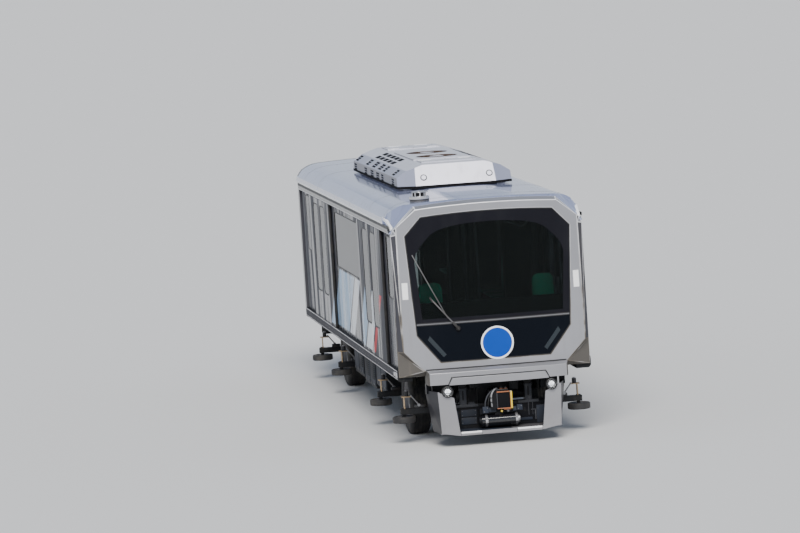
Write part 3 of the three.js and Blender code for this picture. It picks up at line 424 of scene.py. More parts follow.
# Painted reflection: the reflector glows faintly to stand in for the sky it reflects.
CHROME = finish(
    GLAZE, "lamp reflector with painted glow", "lamp", (0.86, 0.87, 0.88), bump=0.02,
    Roughness=0.08, Smear=0.1, Metallic=1.0, Emission_Color=(0.95, 0.97, 1.0), Emission_Strength=0.9)
TINTED = finish(
    GLAZE, "dark tinted glass", "tinted_glass", (0.06, 0.07, 0.085), bump=0.04,
    Roughness=0.0, Smear=0.02, Transmission_Weight=0.95, IOR=1.16)
SCREEN_GLASS = finish(
    GLAZE, "windscreen glass", "tinted_glass", (0.13, 0.158, 0.158), bump=0.04,
    Roughness=0.0, Smear=0.02, Transmission_Weight=0.97, IOR=1.1)
LENS = finish(
    GLAZE, "clear lens", "lamp", (0.96, 0.97, 0.98), bump=0.02,
    Roughness=0.02, Smear=0.03, Transmission_Weight=0.95, IOR=1.2)
GLOSS = finish(
    GLAZE, "black gloss panel", "dark_gloss", (0.003, 0.0045, 0.008), bump=0.04,
    Roughness=0.06, Smear=0.02, Specular_IOR_Level=0.07)
GLOSS_TUBE = finish(
    GLAZE, "black enamel", "dark_gloss", (0.005, 0.005, 0.007), bump=0.04,
    Roughness=0.1, Smear=0.04, Specular_IOR_Level=0.9)
FRIT = finish(
    GLAZE, "grey-violet glass border", "dark_gloss", (0.0065, 0.0065, 0.01), bump=0.03,
    Roughness=0.08, Smear=0.03, Specular_IOR_Level=0.15)
WHITE = finish(
    MOULDING, "white marker", "front_silver", (0.95, 0.95, 0.95), bump=0.1, depth=0.0005,
    Fleck=(0.88, 0.9, 0.92), Roughness=0.3)
PALE = finish(
    MOULDING, "pale blue-grey bar", "dark_gloss", (0.012, 0.019, 0.025), bump=0.1, depth=0.0005,
    Fleck=(0.02, 0.028, 0.035), Roughness=0.3)
SEAT = finish(
    MOULDING, "teal seat moulding", "seat_plastic", (0.012, 0.34, 0.23), bump=0.2, depth=0.0006,
    Fleck=(0.03, 0.42, 0.3), Roughness=0.42)
SHELL = finish(
    MOULDING, "bright green seat shell", "seat_plastic", (0.015, 0.8, 0.5), bump=0.2, depth=0.0006,
    Fleck=(0.05, 0.85, 0.6), Roughness=0.5)
LINING = finish(
    MOULDING, "grey lining panel", "seat_plastic", (0.026, 0.027, 0.03), bump=0.1, depth=0.0006,
    Fleck=(0.04, 0.04, 0.043), Roughness=0.6)
BENCH = finish(
    MOULDING, "dark bench moulding", "seat_plastic", (0.022, 0.024, 0.026), bump=0.1, depth=0.0006,
    Fleck=(0.035, 0.04, 0.04), Roughness=0.5)
FLOORING = finish(
    MOULDING, "speckled floor covering", "seat_plastic", (0.035, 0.038, 0.045), bump=0.2, depth=0.0006,
    Fleck=(0.14, 0.15, 0.16), Roughness=0.55)


# Shapes. Each maker gives back a bmesh, and a piece is put together from several.
AXES = {"X": Vector((1, 0, 0)), "Y": Vector((0, 1, 0)), "Z": Vector((0, 0, 1))}
WELD, NODE_WELD, SLIVER = 1e-6, 1e-5, 1e-7
FLAT = math.radians(0.4)


def everything(bm):
    return bm.verts[:] + bm.edges[:] + bm.faces[:]


def verts_of(geometry):
    return [g for g in geometry if isinstance(g, bmesh.types.BMVert)]


def block(low, high, edge=0.0):
    """A block from its lowest to its highest corner, with rounded edges."""
    bm = bmesh.new()
    low, high = Vector(low), Vector(high)
    bmesh.ops.create_cube(bm, size=1.0)
    bmesh.ops.scale(bm, vec=high - low, verts=bm.verts)
    bmesh.ops.translate(bm, vec=(low + high) / 2, verts=bm.verts)
    if edge:
        bmesh.ops.bevel(
            bm, geom=bm.edges[:], offset=edge, offset_type="OFFSET", segments=2, profile=0.5,
            affect="EDGES", material=-1, clamp_overlap=True,
        )
    return bm


def block_at(place, low, high, edge=0.0):
    """A block whose corners are given from a place."""
    return block(Vector(place) + Vector(low), Vector(place) + Vector(high), edge)


def blocks(rows):
    """A block for each row of x from and to, y from and to, z from and to, and the rounding of its edges."""
    return [block((x0, y0, z0), (x1, y1, z1), edge) for x0, x1, y0, y1, z0, z1, edge in rows]


def on_side(sign, x0, x1, near, far, z0, z1, edge=0.0):
    """A block on one side of the car, between two half widths."""
    y0, y1 = sorted((sign * near, sign * far))
    return block((x0, y0, z0), (x1, y1, z1), edge)


def strut(start, end, width, depth, facing=(1, 0, 0), edge=0.0):
    """A flat bar between two points: its depth runs along facing and its width across."""
    start, end = Vector(start), Vector(end)
    along = (end - start).normalized()
    side = Vector(facing).cross(along).normalized()
    half = (end - start).length / 2
    bm = block((-half, -width / 2, -depth / 2), (half, width / 2, depth / 2), edge)
    turn = Matrix((along, side, along.cross(side))).transposed().to_4x4()
    bmesh.ops.transform(bm, matrix=Matrix.Translation((start + end) / 2) @ turn, verts=bm.verts)
    return bm


def bar(start, end, radius, steps=16):
    """A round bar between two points."""
    start, end = Vector(start), Vector(end)
    turn = (end - start).to_track_quat("Z", "Y").to_matrix().to_4x4()
    bm = bmesh.new()
    bmesh.ops.create_cone(
        bm, cap_ends=True, segments=steps, radius1=radius, radius2=radius,
        depth=(end - start).length, matrix=Matrix.Translation((start + end) / 2) @ turn,
    )
    return bm


def rod(place, axis, length, radius, steps=16):
    """A round bar from a place, so far along an axis."""
    return bar(place, Vector(place) + AXES[axis] * length, radius, steps)


def studs(places, axis, radius, height, steps=6):
    """A bolt head at each place, standing out along an axis."""
    return [rod(place, axis, height, radius, steps) for place in places]


def lathe(profile, place, axis="Y", steps=48, sign=1):
    """A profile of radius and distance spun right round an axis through a place."""
    bm = bmesh.new()
    along = AXES[axis] * sign if axis in AXES else Vector(axis).normalized()
    place = Vector(place)
    out = along.cross(AXES["Y"]).normalized() if abs(along.y) < 0.9 else AXES["Z"]
    verts = [bm.verts.new(place + along * distance + out * radius) for radius, distance in profile]
    edges = [bm.edges.new(pair) for pair in zip(verts, verts[1:])]
    bmesh.ops.spin(
        bm, geom=verts + edges, cent=place, axis=along, angle=2 * math.pi, steps=steps, use_merge=True,
    )
    bmesh.ops.remove_doubles(bm, verts=bm.verts, dist=WELD)
    bmesh.ops.dissolve_degenerate(bm, dist=SLIVER, edges=bm.edges)
    bmesh.ops.recalc_face_normals(bm, faces=bm.faces)
    return bm


def ring(inner, outer, near, far):
    """The profile of a plain ring."""
    return [(inner, near), (outer, near), (outer, far), (inner, far), (inner, near)]


def profile(*points):
    """A profile given in millimetres, each point as its radius and its distance along the axis."""
    return [(radius / 1000, distance / 1000) for radius, distance in points]


def both_ways(half):
    """A closed profile from its half and the mirror image of that."""
    return [*half, *((radius, -distance) for radius, distance in reversed(half)), half[0]]


def pipe(points, radius, bend=6):
    """A bent round pipe through points."""
    curve = bpy.data.curves.new("pipe", "CURVE")
    curve.dimensions = "3D"
    curve.bevel_depth = radius
    curve.bevel_resolution = 3
    curve.use_fill_caps = True
    spline = curve.splines.new("NURBS")
    spline.points.add(len(points) - 1)
    for knot, point in zip(spline.points, points):
        knot.co = (*point, 1)
    spline.use_endpoint_u = True
    spline.order_u = 3
    spline.resolution_u = bend
    holder = bpy.data.objects.new("pipe", curve)
    scene.collection.objects.link(holder)
    bpy.context.view_layer.update()
    mesh = bpy.data.meshes.new_from_object(holder.evaluated_get(bpy.context.evaluated_depsgraph_get()))
    bm = bmesh.new()
    bm.from_mesh(mesh)
    bpy.data.objects.remove(holder)
    bpy.data.curves.remove(curve)
    bpy.data.meshes.remove(mesh)
    bmesh.ops.remove_doubles(bm, verts=bm.verts, dist=WELD)
    bmesh.ops.recalc_face_normals(bm, faces=bm.faces)
    return bm


def outline(u0, u1, v0, v1, radius, steps=5):
    """A rectangle with round corners, as points."""
    points = []
    for u, v, start in (
        (u1 - radius, v0 + radius, -90), (u1 - radius, v1 - radius, 0),
        (u0 + radius, v1 - radius, 90), (u0 + radius, v0 + radius, 180),
    ):
        for i in range(steps + 1):
            angle = math.radians(start + 90 * i / steps)
            points.append((u + radius * math.cos(angle), v + radius * math.sin(angle)))
    return points


def frame_of(x0, x1, z0, z1, radius, out, into):
    """Two outlines of a frame round an opening: so far outside it and so far inside."""
    return [outline(x0 - by, x1 + by, z0 - by, z1 + by, radius + by) for by in (out, -into)]


def circle(u, v, radius, steps=48):
    angles = [2 * math.pi * i / steps for i in range(steps)]
    return [(u + radius * math.cos(angle), v + radius * math.sin(angle)) for angle in angles]


def whole(half, between=()):
    """An outline from its left half, with the points between that and its mirror image."""
    return [*half, *between, *((-y, z) for y, z in reversed(half))]


def thickened(bm, shift):
    """The flat shape made solid by a shift of its faces."""
    grown = bmesh.ops.extrude_face_region(bm, geom=bm.faces[:])["geom"]
    bmesh.ops.translate(bm, vec=shift, verts=verts_of(grown))
    bmesh.ops.recalc_face_normals(bm, faces=bm.faces)
    return bm


def plate(outlines, axis, start, end):
    """A plate inside the first outline, with the others as holes, between two places along X or Y."""
    bm = bmesh.new()
    for points in outlines:
        verts = [bm.verts.new((start, u, v) if axis == "X" else (u, start, v)) for u, v in points]
        for pair in zip(verts, verts[1:] + verts[:1]):
            bm.edges.new(pair)
    bmesh.ops.triangle_fill(bm, use_beauty=True, edges=bm.edges[:])
    bmesh.ops.dissolve_limit(bm, angle_limit=0.01, verts=bm.verts, edges=bm.edges)
    return thickened(bm, AXES[axis] * (end - start))


def slab(points, shift):
    """A flat outline of points in space, thickened by a shift."""
    bm = bmesh.new()
    bm.faces.new([bm.verts.new(point) for point in points])
    return thickened(bm, shift)


SHEET_STEP = 0.12


def front_sheet(outlines, out, thick, face=front_x):
    """A sheet that lies on a bowed front face, so far out from it and so thick."""
    bm = plate(outlines, "X", 0.0, thick)
    for i in range(-11, 12):
        cut = (0, i * SHEET_STEP, 0)
        bmesh.ops.bisect_plane(bm, geom=everything(bm), plane_co=cut, plane_no=AXES["Y"])
    for vert in bm.verts:
        vert.co.x += face(vert.co.y, vert.co.z) + out
    return bm


def spread(first, last, count):
    """Evenly spaced values from the first to the last."""
    return [first + (last - first) * i / (count - 1) for i in range(count)]


def twin(bm):
    """The shape and its mirror image on the car's other side."""
    bmesh.ops.mirror(bm, geom=everything(bm), matrix=Matrix(), merge_dist=-1, axis="Y")
    bmesh.ops.recalc_face_normals(bm, faces=bm.faces)
    return bm


def ring_row(bm, count, place, axis):
    """Copies of the shape turned evenly round an axis through a place."""
    first = everything(bm)
    for i in range(1, count):
        made = bmesh.ops.duplicate(bm, geom=first)["geom"]
        turn = Matrix.Rotation(2 * math.pi * i / count, 3, axis)
        bmesh.ops.rotate(bm, cent=place, matrix=turn, verts=verts_of(made))
    return bm


def settle(name, bm, looks, body, replaces, smooth, edge, rim=-1):
    """The finished object: shaded smooth below an angle, its edges rounded, riding on its body."""
    limit = math.radians(smooth)
    for face in bm.faces:
        face.smooth = True
    for each in bm.edges:
        each.smooth = len(each.link_faces) == 2 and each.calc_face_angle(math.pi) < limit
    mesh = bpy.data.meshes.new(name)
    bm.to_mesh(mesh)
    bm.free()
    made = bpy.data.objects.new(name, mesh)
    scene.collection.objects.link(made)
    for look in looks:
        mesh.materials.append(look)
    if edge:
        bevel = made.modifiers.new("round edges", "BEVEL")
        bevel.width = edge
        bevel.segments = 2
        bevel.limit_method = "ANGLE"
        bevel.angle_limit = limit
        bevel.harden_normals = True
        bevel.material = rim
    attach(made, body)
    if replaces:
        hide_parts(*replaces)


def piece(name, shapes, body="car_body", replaces=(), smooth=30, edge=0.0):
    """A named piece that rides on a body, from the shapes that have each look."""
    joined = bmesh.new()
    for index, same_look in enumerate(shapes.values()):
        for shape in same_look:
            for face in shape.faces:
                face.material_index = index
            mesh = bpy.data.meshes.new("part")
            shape.to_mesh(mesh)
            shape.free()
            joined.from_mesh(mesh)
            bpy.data.meshes.remove(mesh)
    settle(name, joined, list(shapes), body, replaces, smooth, edge)


def refined(node, *looks, body="car_body", edge=0.004, smooth=12, choose=None, rim=-1):
    """The node's own shape with its flat faces joined, its curves shaded smooth and its edges rounded."""
    bm = bmesh.new()
    bm.from_mesh(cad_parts[node].data)
    bmesh.ops.remove_doubles(bm, verts=bm.verts, dist=NODE_WELD)
    bmesh.ops.dissolve_limit(bm, angle_limit=FLAT, verts=bm.verts, edges=bm.edges)
    for face in bm.faces:
        face.material_index = choose(face.calc_center_median(), face.normal) if choose else 0
    settle(f"{node}_finished", bm, looks, body, [node], smooth, edge, rim)


# Front mask and its glass
def mask_look(at, normal):
    """Painted shade with road dust on the low flanks, painted shade on the inner edges, silver elsewhere."""
    if at.z < 1.3 and (abs(normal.y) > 0.3 or normal.z < -0.5):
        return 1
    return 2 if abs(normal.y) > 0.45 and abs(at.y) > 1.27 and abs(normal.z) < 0.2 else 0


# The rounded edges of the mask take the painted highlight.
refined("front_mask", SILVER, DUST_AND_SHADE, GREY_PAINT_AND_SHADE, HIGHLIGHT_RIM, edge=0.009, choose=mask_look, rim=3)
refined("windscreen", SCREEN_GLASS, edge=0.002)
refined("nose_panel", GLOSS, edge=0.002)

ON_GLASS = -0.0055
CROWN = 0.04
SCREEN = [(1.083, 1.737), (1.157, 2.948), (0.921, 3.196)]
SCREEN_CLEAR = [
    (0.985, 1.79), (1.045, 2.6), (1.015, 2.7), (0.96, 2.79), (0.8, 2.95), (0.7, 3.005), (0.55, 3.045),
]
OPENING = [(0.769, 1.18), (1.078, 1.57), (1.086, 1.72), (1.16, 2.95), (0.924, 3.2)]
OPENING_SEAL = [(0.763, 1.192), (1.066, 1.575), (1.074, 1.72), (1.147, 2.945), (0.919, 3.187)]
STRIP = whole([(1.07, 1.726), (1.07, 1.712)])
STRIP_JOINT = whole([(1.072, 1.739), (1.072, 1.699)])
MARKER = [(1.16, 2.08), (1.24, 2.08), (1.24, 2.31), (1.16, 2.31)]
PALE_BAR = [(0.9, 1.555), (0.93, 1.5), (0.725, 1.25), (0.685, 1.285)]
DISC_AT, DISC_RADIUS, DISC_RIM = (0.03, 1.4), 0.205, 0.23


def octagon(line, columns=12):
    """The glass outline from its left half, with a crowned top."""
    half, top = line[-1]
    sides = [1 - 2 * i / columns for i in range(1, columns)]
    return whole(line, [(half * side, top + CROWN * (1 - side**2)) for side in sides])


piece("windscreen_border", {FRIT: [front_sheet([octagon(SCREEN), octagon(SCREEN_CLEAR)], ON_GLASS, 0.001)]})
piece("front_glass_seal", {SEAL: [front_sheet([octagon(OPENING), octagon(OPENING_SEAL)], -0.005, 0.004)]})
piece("front_strip", {
    STRIP_PAINT: [front_sheet([STRIP], -0.004, 0.005)], SEAL: [front_sheet([STRIP_JOINT], ON_GLASS, 0.002)],
})
piece("front_markers", {WHITE: [twin(front_sheet([MARKER], 0.0, 0.003))]})
piece("front_pale_bars", {PALE: [twin(front_sheet([PALE_BAR], ON_GLASS, 0.002))]})
disc_edge = circle(*DISC_AT, DISC_RADIUS)
piece("front_disc", {
    DISC: [front_sheet([disc_edge], ON_GLASS, 0.004)],
    WHITE: [front_sheet([circle(*DISC_AT, DISC_RIM), disc_edge], ON_GLASS, 0.006)],
})


# Wiper
GLASS_OUT = (1, 0, 0.035)
WIPER_FOOT = (-0.5, 1.635)
BLADE = ((-0.64, 1.79), (-1.075, 2.69))
BOSS = profile((0, -10), (34, -10), (34, 22), (27, 34), (18, 48), (0, 50))


def arm(start, end, ahead, width, depth, edge=0.0):
    """A flat bar so far ahead of the glass, between two points of its face."""
    first, last = ((front_x(y, z) + ahead, y, z) for y, z in (start, end))
    return strut(first, last, width, depth, GLASS_OUT, edge)


piece("wiper_finished", {
    SEAL: [
        lathe(BOSS, (front_x(*WIPER_FOOT), *WIPER_FOOT), "X"),
        arm(WIPER_FOOT, (-0.58, 1.733), 0.031, 0.034, 0.02, 0.005),
        arm(*BLADE, 0.01, 0.006, 0.018),
        arm((-0.835, 2.02), (-0.87, 2.09), 0.029, 0.022, 0.018, 0.003),
    ],
    DULL: [
        arm((-0.57, 1.72), (-0.849, 2.06), 0.033, 0.018, 0.009, 0.002),
        arm(*BLADE, 0.022, 0.013, 0.008, 0.002),
    ],
}, replaces=["wiper"])


# Bumper with the dark joint round its lip, and along its back edge a dark line for its joint with the mask
# and a painted shadow in that gap
def bumper_look(at, normal):
    """Dusty silver with painted shade on the ends and underside."""
    return 1 if abs(normal.y) > 0.9 or normal.z < -0.7 else 0


refined("bumper", SILVER, DUST_AND_SHADE, edge=0.009, choose=bumper_look)
LIP_JOINT = whole([(0.651, 0.972), (0.701, 0.882), (0.714, 0.882), (0.663, 0.985)])
# The dark line along the back edge is partly the joint and partly painted shadow under the mask.
BACK_JOINT_SHADOW = whole([(0.985, 1.096), (0.985, 1.0805)])
piece("bumper_lip_joint", {SEAL: [front_sheet([LIP_JOINT], 0.0003, 0.002, bumper_x)]})
piece("bumper_back_joint_shadow", {SEAL: [front_sheet([BACK_JOINT_SHADOW], 0.0003, 0.002)]})


# Apron with its strip, tray cover and bay panels
APRON_X, STRIP_Z = 5.8502, (0.187, 0.211)
BAY_X, PANEL_FRONT = 5.4652, 5.474
TRAY_X, TRAY_Z = (5.475, 5.822), (0.2052, 0.209)
BAY_PANELS = [
    (-0.502, -0.283, 0.262, 0.36), (-0.502, -0.283, 0.372, 0.47), (0.06, 0.5, 0.262, 0.3),
    (-0.8, -0.54, 0.215, 0.46), (0.56, 0.8, 0.215, 0.46),
]
PANEL_BOLTS = [(PANEL_FRONT, y, z) for y in (-0.485, -0.3) for z in (0.285, 0.345, 0.39, 0.45)]


def apron_look(at, normal):
    """Silver legs in front, the grey strip between them, dark flanks and a black inside."""
    if at.x > 5.8245 and abs(normal.x) > 0.5:
        return 3 if at.z < 0.24 and abs(at.y) < 0.6 else 0
    return 2 if abs(at.y) > 0.83 and at.z > 0.2 and abs(normal.y) > 0.5 else 1


refined("apron", SILVER, BLACK, FLANK, STRIP_PAINT, edge=0.006, choose=apron_look)
piece("apron_strip_plates", {WHITE: blocks(
    (APRON_X, 5.8525, y0, y1, *STRIP_Z, 0.001) for y0, y1 in ((-0.566, -0.28), (0.221, 0.566))
)})
piece("apron_strip_joints", {SEAL: blocks(
    (APRON_X, 5.8512, y, y + 0.005, 0.159, 0.211, 0) for y in (-0.279, 0.215, -0.571, 0.567)
)})
piece("bay_panels", {
    BAY: blocks((BAY_X, PANEL_FRONT, *panel, 0.003) for panel in BAY_PANELS),
    DULL: studs(PANEL_BOLTS, "X", 0.006, 0.004),
})
piece("apron_tray_cover", {
    GREY_PAINT_AND_SHADE: blocks([(*TRAY_X, 0.16, 0.8, *TRAY_Z, 0.001)]),
    BAY: blocks([(*TRAY_X, -0.8, 0.14, *TRAY_Z, 0.001)]),
})

# Bay across the front: slotted brackets, shelves on the bar and what hangs from it
BAR_X, BRACKET_FRONT = 5.4603, 5.466
SLOT_IN, BOLT_IN, FOLD_OUT = 0.036, 0.018, 0.012


def slotted(y0, y1):
    """A slotted bracket plate on a hanger, with its folded top."""
    slot = outline(y0 + SLOT_IN, y1 - SLOT_IN, 0.6, 0.735, 0.01)
    sheet = plate([outline(y0, y1, 0.545, 0.765, 0.004, 2), slot], "X", BAR_X, BRACKET_FRONT)
    bolts = [(BRACKET_FRONT, y, z) for y in (y0 + BOLT_IN, y1 - BOLT_IN) for z in (0.575, 0.65, 0.725)]
    top = block((BAR_X, y0 - FOLD_OUT, 0.752), (5.482, y1 + FOLD_OUT, 0.77), 0.003)
    return [sheet, top, *studs(bolts, "X", 0.007, 0.005)]


piece("bay_brackets", {BRACKET: [*slotted(-0.506, -0.412), *slotted(0.412, 0.506)]})
piece("bay_shelves", {BRACKET: [
    *blocks([
        (BAR_X, 5.478, -0.6, -0.256, 0.503, 0.543, 0.003), (BAR_X, 5.478, 0.31, 0.6, 0.505, 0.543, 0.003),
        (5.43, 5.47, -0.39, -0.3, 0.5403, 0.566, 0.004),
    ]),
    *studs([(5.478, y, 0.524) for y in (-0.57, -0.44, -0.3, 0.36, 0.47, 0.57)], "X", 0.009, 0.007),
]})
piece("bay_posts", {BRACKET: blocks([
    (BAR_X, 5.474, 0.535, 0.556, 0.262, 0.41, 0.003), (BAR_X, 5.48, 0.488, 0.556, 0.396, 0.41, 0.003),
    (BAR_X, 5.472, 0.447, 0.458, 0.33, 0.504, 0.002), (BAR_X, 5.47, 0.505, 0.514, 0.33, 0.504, 0.002),
])})
piece("bay_boxes", {FRAME: [
    *blocks([
        (5.3, 5.48, -0.88, -0.62, 0.7, 0.878, 0.008), (5.3, 5.48, 0.64, 0.88, 0.7, 0.878, 0.008),
        (5.32, 5.43, -0.34, -0.2, 0.76, 0.878, 0.006), (5.32, 5.43, 0.2, 0.33, 0.7, 0.878, 0.006),
    ]),
    *[rod((5.43, y, 0.8), "X", 0.022, 0.034, 24) for y in (-0.27, 0.265)],
]})


# Headlights: a rubber ring, a dark inner ring and a bright bowl split by its bulb shield
LAMP_SHELL = profile(
    (0, -50), (62, -50), (81, -38), (81, 28), (78, 36), (70, 40), (66.5, 36), (66.5, 20), (40, 8), (40, -30),
    (0, -30),
)
REFLECTOR = profile(
    (0, -26), (12, -26), (24, -16), (33, 0), (39, 14), (39.5, 10), (33, -5), (24, -22), (0, -29),
)
LAMP_RIM = profile((65.5, 20.5), (60, 18.5), (60, 21.5), (65.5, 23.5), (65.5, 20.5))
LENS_PROFILE = profile(
    (65.5, 22), (65.5, 26), (50, 33), (25, 37), (0, 38), (0, 34), (25, 33), (50, 29), (62, 22), (65.5, 22),
)
for side, sign in SIDES.items():
    place = (LAMP["x"], sign * LAMP["y"], LAMP["z"])
    piece(f"headlight_housing_{side}", {
        SEAL: [
            lathe(LAMP_SHELL, place, "X"),
            block_at(place, (0.008, -0.037, -0.027), (0.014, 0.037, -0.015), 0.002),
        ],
        CHROME: [lathe(REFLECTOR, place, "X")],
        DULL: [lathe(LAMP_RIM, place, "X")],
    }, replaces=[f"headlight_{side}"])
    piece(f"headlight_lens_{side}", {LENS: [lathe(LENS_PROFILE, place, "X")]})


# Coupler in its bay
HEAD_X, HEAD_BACK = 5.7603, 5.752
BLOCK_X = 5.6902
CYLINDER = (5.66, 0, 0.318)
FITTINGS = ((0.045, 0.762), (0.105, 0.758))
BLOCK_BOLTS = [(5.735, -0.215, 0.45), (5.735, -0.17, 0.5), (5.74, 0.265, 0.46), (5.74, 0.305, 0.5)]
PIPE_CLIPS = [(5.776, -0.1125, 0.575), (5.776, -0.1125, 0.635)]
THICK_PIPE = [
    (5.735, -0.103, 0.495), (5.765, -0.105, 0.535), (5.777, -0.115, 0.605), (5.777, -0.11, 0.69),
    (5.772, -0.075, 0.745), (5.75, -0.03, 0.77), (5.72, -0.02, 0.757),
]
MIDDLE_PIPE = [
    (5.72, -0.199, 0.51), (5.745, -0.197, 0.56), (5.765, -0.191, 0.611), (5.77, -0.17, 0.665),
    (5.77, -0.142, 0.702), (5.755, -0.1, 0.74), (5.73, -0.06, 0.752),
]
THIN_PIPE = [
    (5.72, -0.155, 0.51), (5.755, -0.155, 0.56), (5.765, -0.148, 0.64), (5.765, -0.11, 0.7),
    (5.755, -0.07, 0.715),
]


def coupler_look(at, normal):
    """The cross cylinder in black enamel, with a steel end on the left."""
    if at.z < 0.41 and abs(at.x - CYLINDER[0]) < 0.09 and at.y > -0.252:
        return 2 if at.y > 0.252 else 1
    return 0


refined("front_coupler", BLACK, GLOSS_TUBE, STEEL, edge=0.006, smooth=25, choose=coupler_look)
piece("coupler_guard", {
    YELLOW: blocks([(HEAD_BACK, HEAD_X + 0.012, 0.16, 0.184, 0.478, 0.716, 0.003)]),
    STEEL: blocks([(HEAD_BACK, HEAD_X + 0.01, 0.15, 0.184, 0.706, 0.722, 0.003)]),
    ORANGE: blocks([
        (HEAD_BACK, HEAD_X + 0.01, -0.03, 0.149, 0.706, 0.722, 0.003),
        (HEAD_X, HEAD_X + 0.01, -0.034, 0.159, 0.478, 0.49, 0.003),
        (HEAD_X, HEAD_X + 0.006, 0.154, 0.159, 0.493, 0.701, 0.001),
    ]),
    DARK: blocks([(HEAD_X - 0.001, HEAD_X + 0.002, -0.018, 0.153, 0.493, 0.704, 0.002)]),
    BRACKET: blocks([(HEAD_X, HEAD_X + 0.008, -0.034, -0.022, 0.478, 0.7, 0.003)]),
})
piece("coupler_top_fittings", {
    ORANGE: [
        *blocks([(5.7, 5.758, 0.06, 0.16, 0.462, 0.477, 0.003)]),
        *[rod((5.69, y, 0.747), "Z", top - 0.747, 0.024, 20) for y, top in FITTINGS],
    ],
    DULL: [
        *blocks([(5.66, HEAD_BACK, -0.035, 0.135, 0.7402, 0.747, 0.003)]),
        *studs([(5.69, y, top) for y, top in FITTINGS], "Z", 0.013, 0.012),
    ],
})
piece("coupler_blocks", {
    BAY: blocks([
        (BLOCK_X, 5.735, -0.235, -0.15, 0.43, 0.52, 0.006),
        (BLOCK_X, 5.725, -0.145, -0.045, 0.438, 0.5, 0.005),
        (BLOCK_X, 5.725, 0.19, 0.24, 0.435, 0.495, 0.005),
        (BLOCK_X, 5.74, 0.245, 0.325, 0.44, 0.518, 0.008),
    ]),
    YELLOW: [rod((5.69, 0.03, 0.446), "X", 0.055, 0.014)],
    DULL: [rod((5.69, 0.12, 0.446), "X", 0.05, 0.017), *studs(BLOCK_BOLTS, "X", 0.008, 0.006)],
})
piece("coupler_pipes", {
    SEAL: [pipe(THIN_PIPE, 0.008), *studs(PIPE_CLIPS, "Z", 0.016, 0.014, 12)],
    HOSE: [pipe(THICK_PIPE, 0.0115)],
    BRACKET: [pipe(MIDDLE_PIPE, 0.01)],
})
clamps, clamp_rings = [], [rod((5.66, 0.286, 0.318), "Y", 0.011, 0.034, 6)]
for y in (0.236, -0.187):
    clamp_rings.append(lathe(ring(0.0853, 0.094, y - 0.017, y + 0.017), CYLINDER))
    clamps += [
        block((5.728, y - 0.018, 0.295), (5.766, y + 0.018, 0.338), 0.004),
        rod((5.747, y, 0.338), "Z", 0.024, 0.01, 6),
        rod((5.766, y, 0.317), "X", 0.006, 0.011),
    ]
piece("coupler_cylinder_clamps", {CLAMP: clamps, DULL: clamp_rings})
flange_bolt = rod((5.3403, 0.1, COUPLER_Z), "X", 0.0137, 0.013, 6)
piece("coupler_flange_bolts", {DULL: [ring_row(flange_bolt, 8, (5.34, 0, COUPLER_Z), "X")]})


# Road wheels and guide wheels
def tyre_profile():
    """The tyre's section: its bead, wall and two grooves of its tread, and the mirror image of these."""
    radius, half, bead = TYRE["radius"], TYRE["half"], TYRE["bead"]
    section = [
        (bead, half - 0.025), (bead + 0.014, half - 0.018), (bead + 0.03, half - 0.012),
        (bead + 0.05, half - 0.006),
        (radius - 0.09, half - 0.001), (radius - 0.085, half - 0.004), (radius - 0.075, half - 0.004),
        (radius - 0.07, half - 0.001), (radius - 0.05, half - 0.004), (radius - 0.025, half - 0.016),
        (radius - 0.008, half - 0.03), (radius - 0.001, half - 0.042), (radius, half - 0.05),
    ]
    deep = radius - 0.012
    for at in (0.075, 0.03):
        section += [(radius, at + 0.006), (deep, at + 0.004), (deep, at - 0.004), (radius, at - 0.006)]
    return both_ways(section)


RIM_PROFILE = profile(
    (61, -60), (150, -60), (165, 20), (263.7, 30), (269.7, -123), (291.7, -125), (291.7, 118), (288.7, 125),
    (281.7, 125), (273.7, 112), (259.7, 66), (251.7, 60), (170, 50), (150, 62), (130, 96), (126, 100),
    (61, 100), (61, -60),
)
BRAKE_DISC = profile((235, -215), (235, -192), (125, -192), (125, -62), (101, -62), (101, -215), (235, -215))
GUIDE_TYRE = both_ways(profile((116, -37), (126, -45), (150, -43), (159, -34), (160, -20)))
GUIDE_HUB = both_ways(profile((26, -35), (55, -35), (60, -20), (100, -20), (115.5, -37)))
SPRING = profile(
    (100, 770.3), (170, 770.3), (182, 790), (184, 820), (176, 845), (163, 850), (176, 857), (184, 880),
    (176, 903), (163, 910), (176, 917), (184, 940), (176, 965), (163, 972), (163, 1008.5), (100, 1008.5),
    (100, 770.3),
)
PIPE_LINE = [(1.0, 0.668, 0.6), (0.6, 0.67, 0.6), (0.3, 0.672, 0.665)]
DAMPER_Z, DAMPER_BODY, DAMPER_TOP = 0.6405, 0.17, 0.33
KINGPIN_Y = 1.19


def axle_dressing(end, x):
    """Cooling fins, a cover and bolts on the axle's casing."""
    bogie, middle = f"bogie_{end}", (x, 0, AXLE_Z)
    ring_bolt = rod((x + 0.152, 0.1503, AXLE_Z), "Y", 0.0117, 0.011, 6)
    fins = spread(x + 0.165, x + 0.515, 12)
    piece(f"axle_{end}_dressed", {
        CAST: [
            *blocks((fin, fin + 0.006, -0.238, 0.238, 0.322, 0.648, 0.001) for fin in fins),
            block((x + 0.22, -0.1, 0.6485), (x + 0.46, 0.1, 0.685), 0.006),
        ],
        DULL: [
            twin(ring_row(ring_bolt, 10, (x, 0.15, AXLE_Z), "Y")),
            twin(lathe(ring(0.0903, 0.102, 0.3, 0.33), middle)),
        ],
    }, bogie)


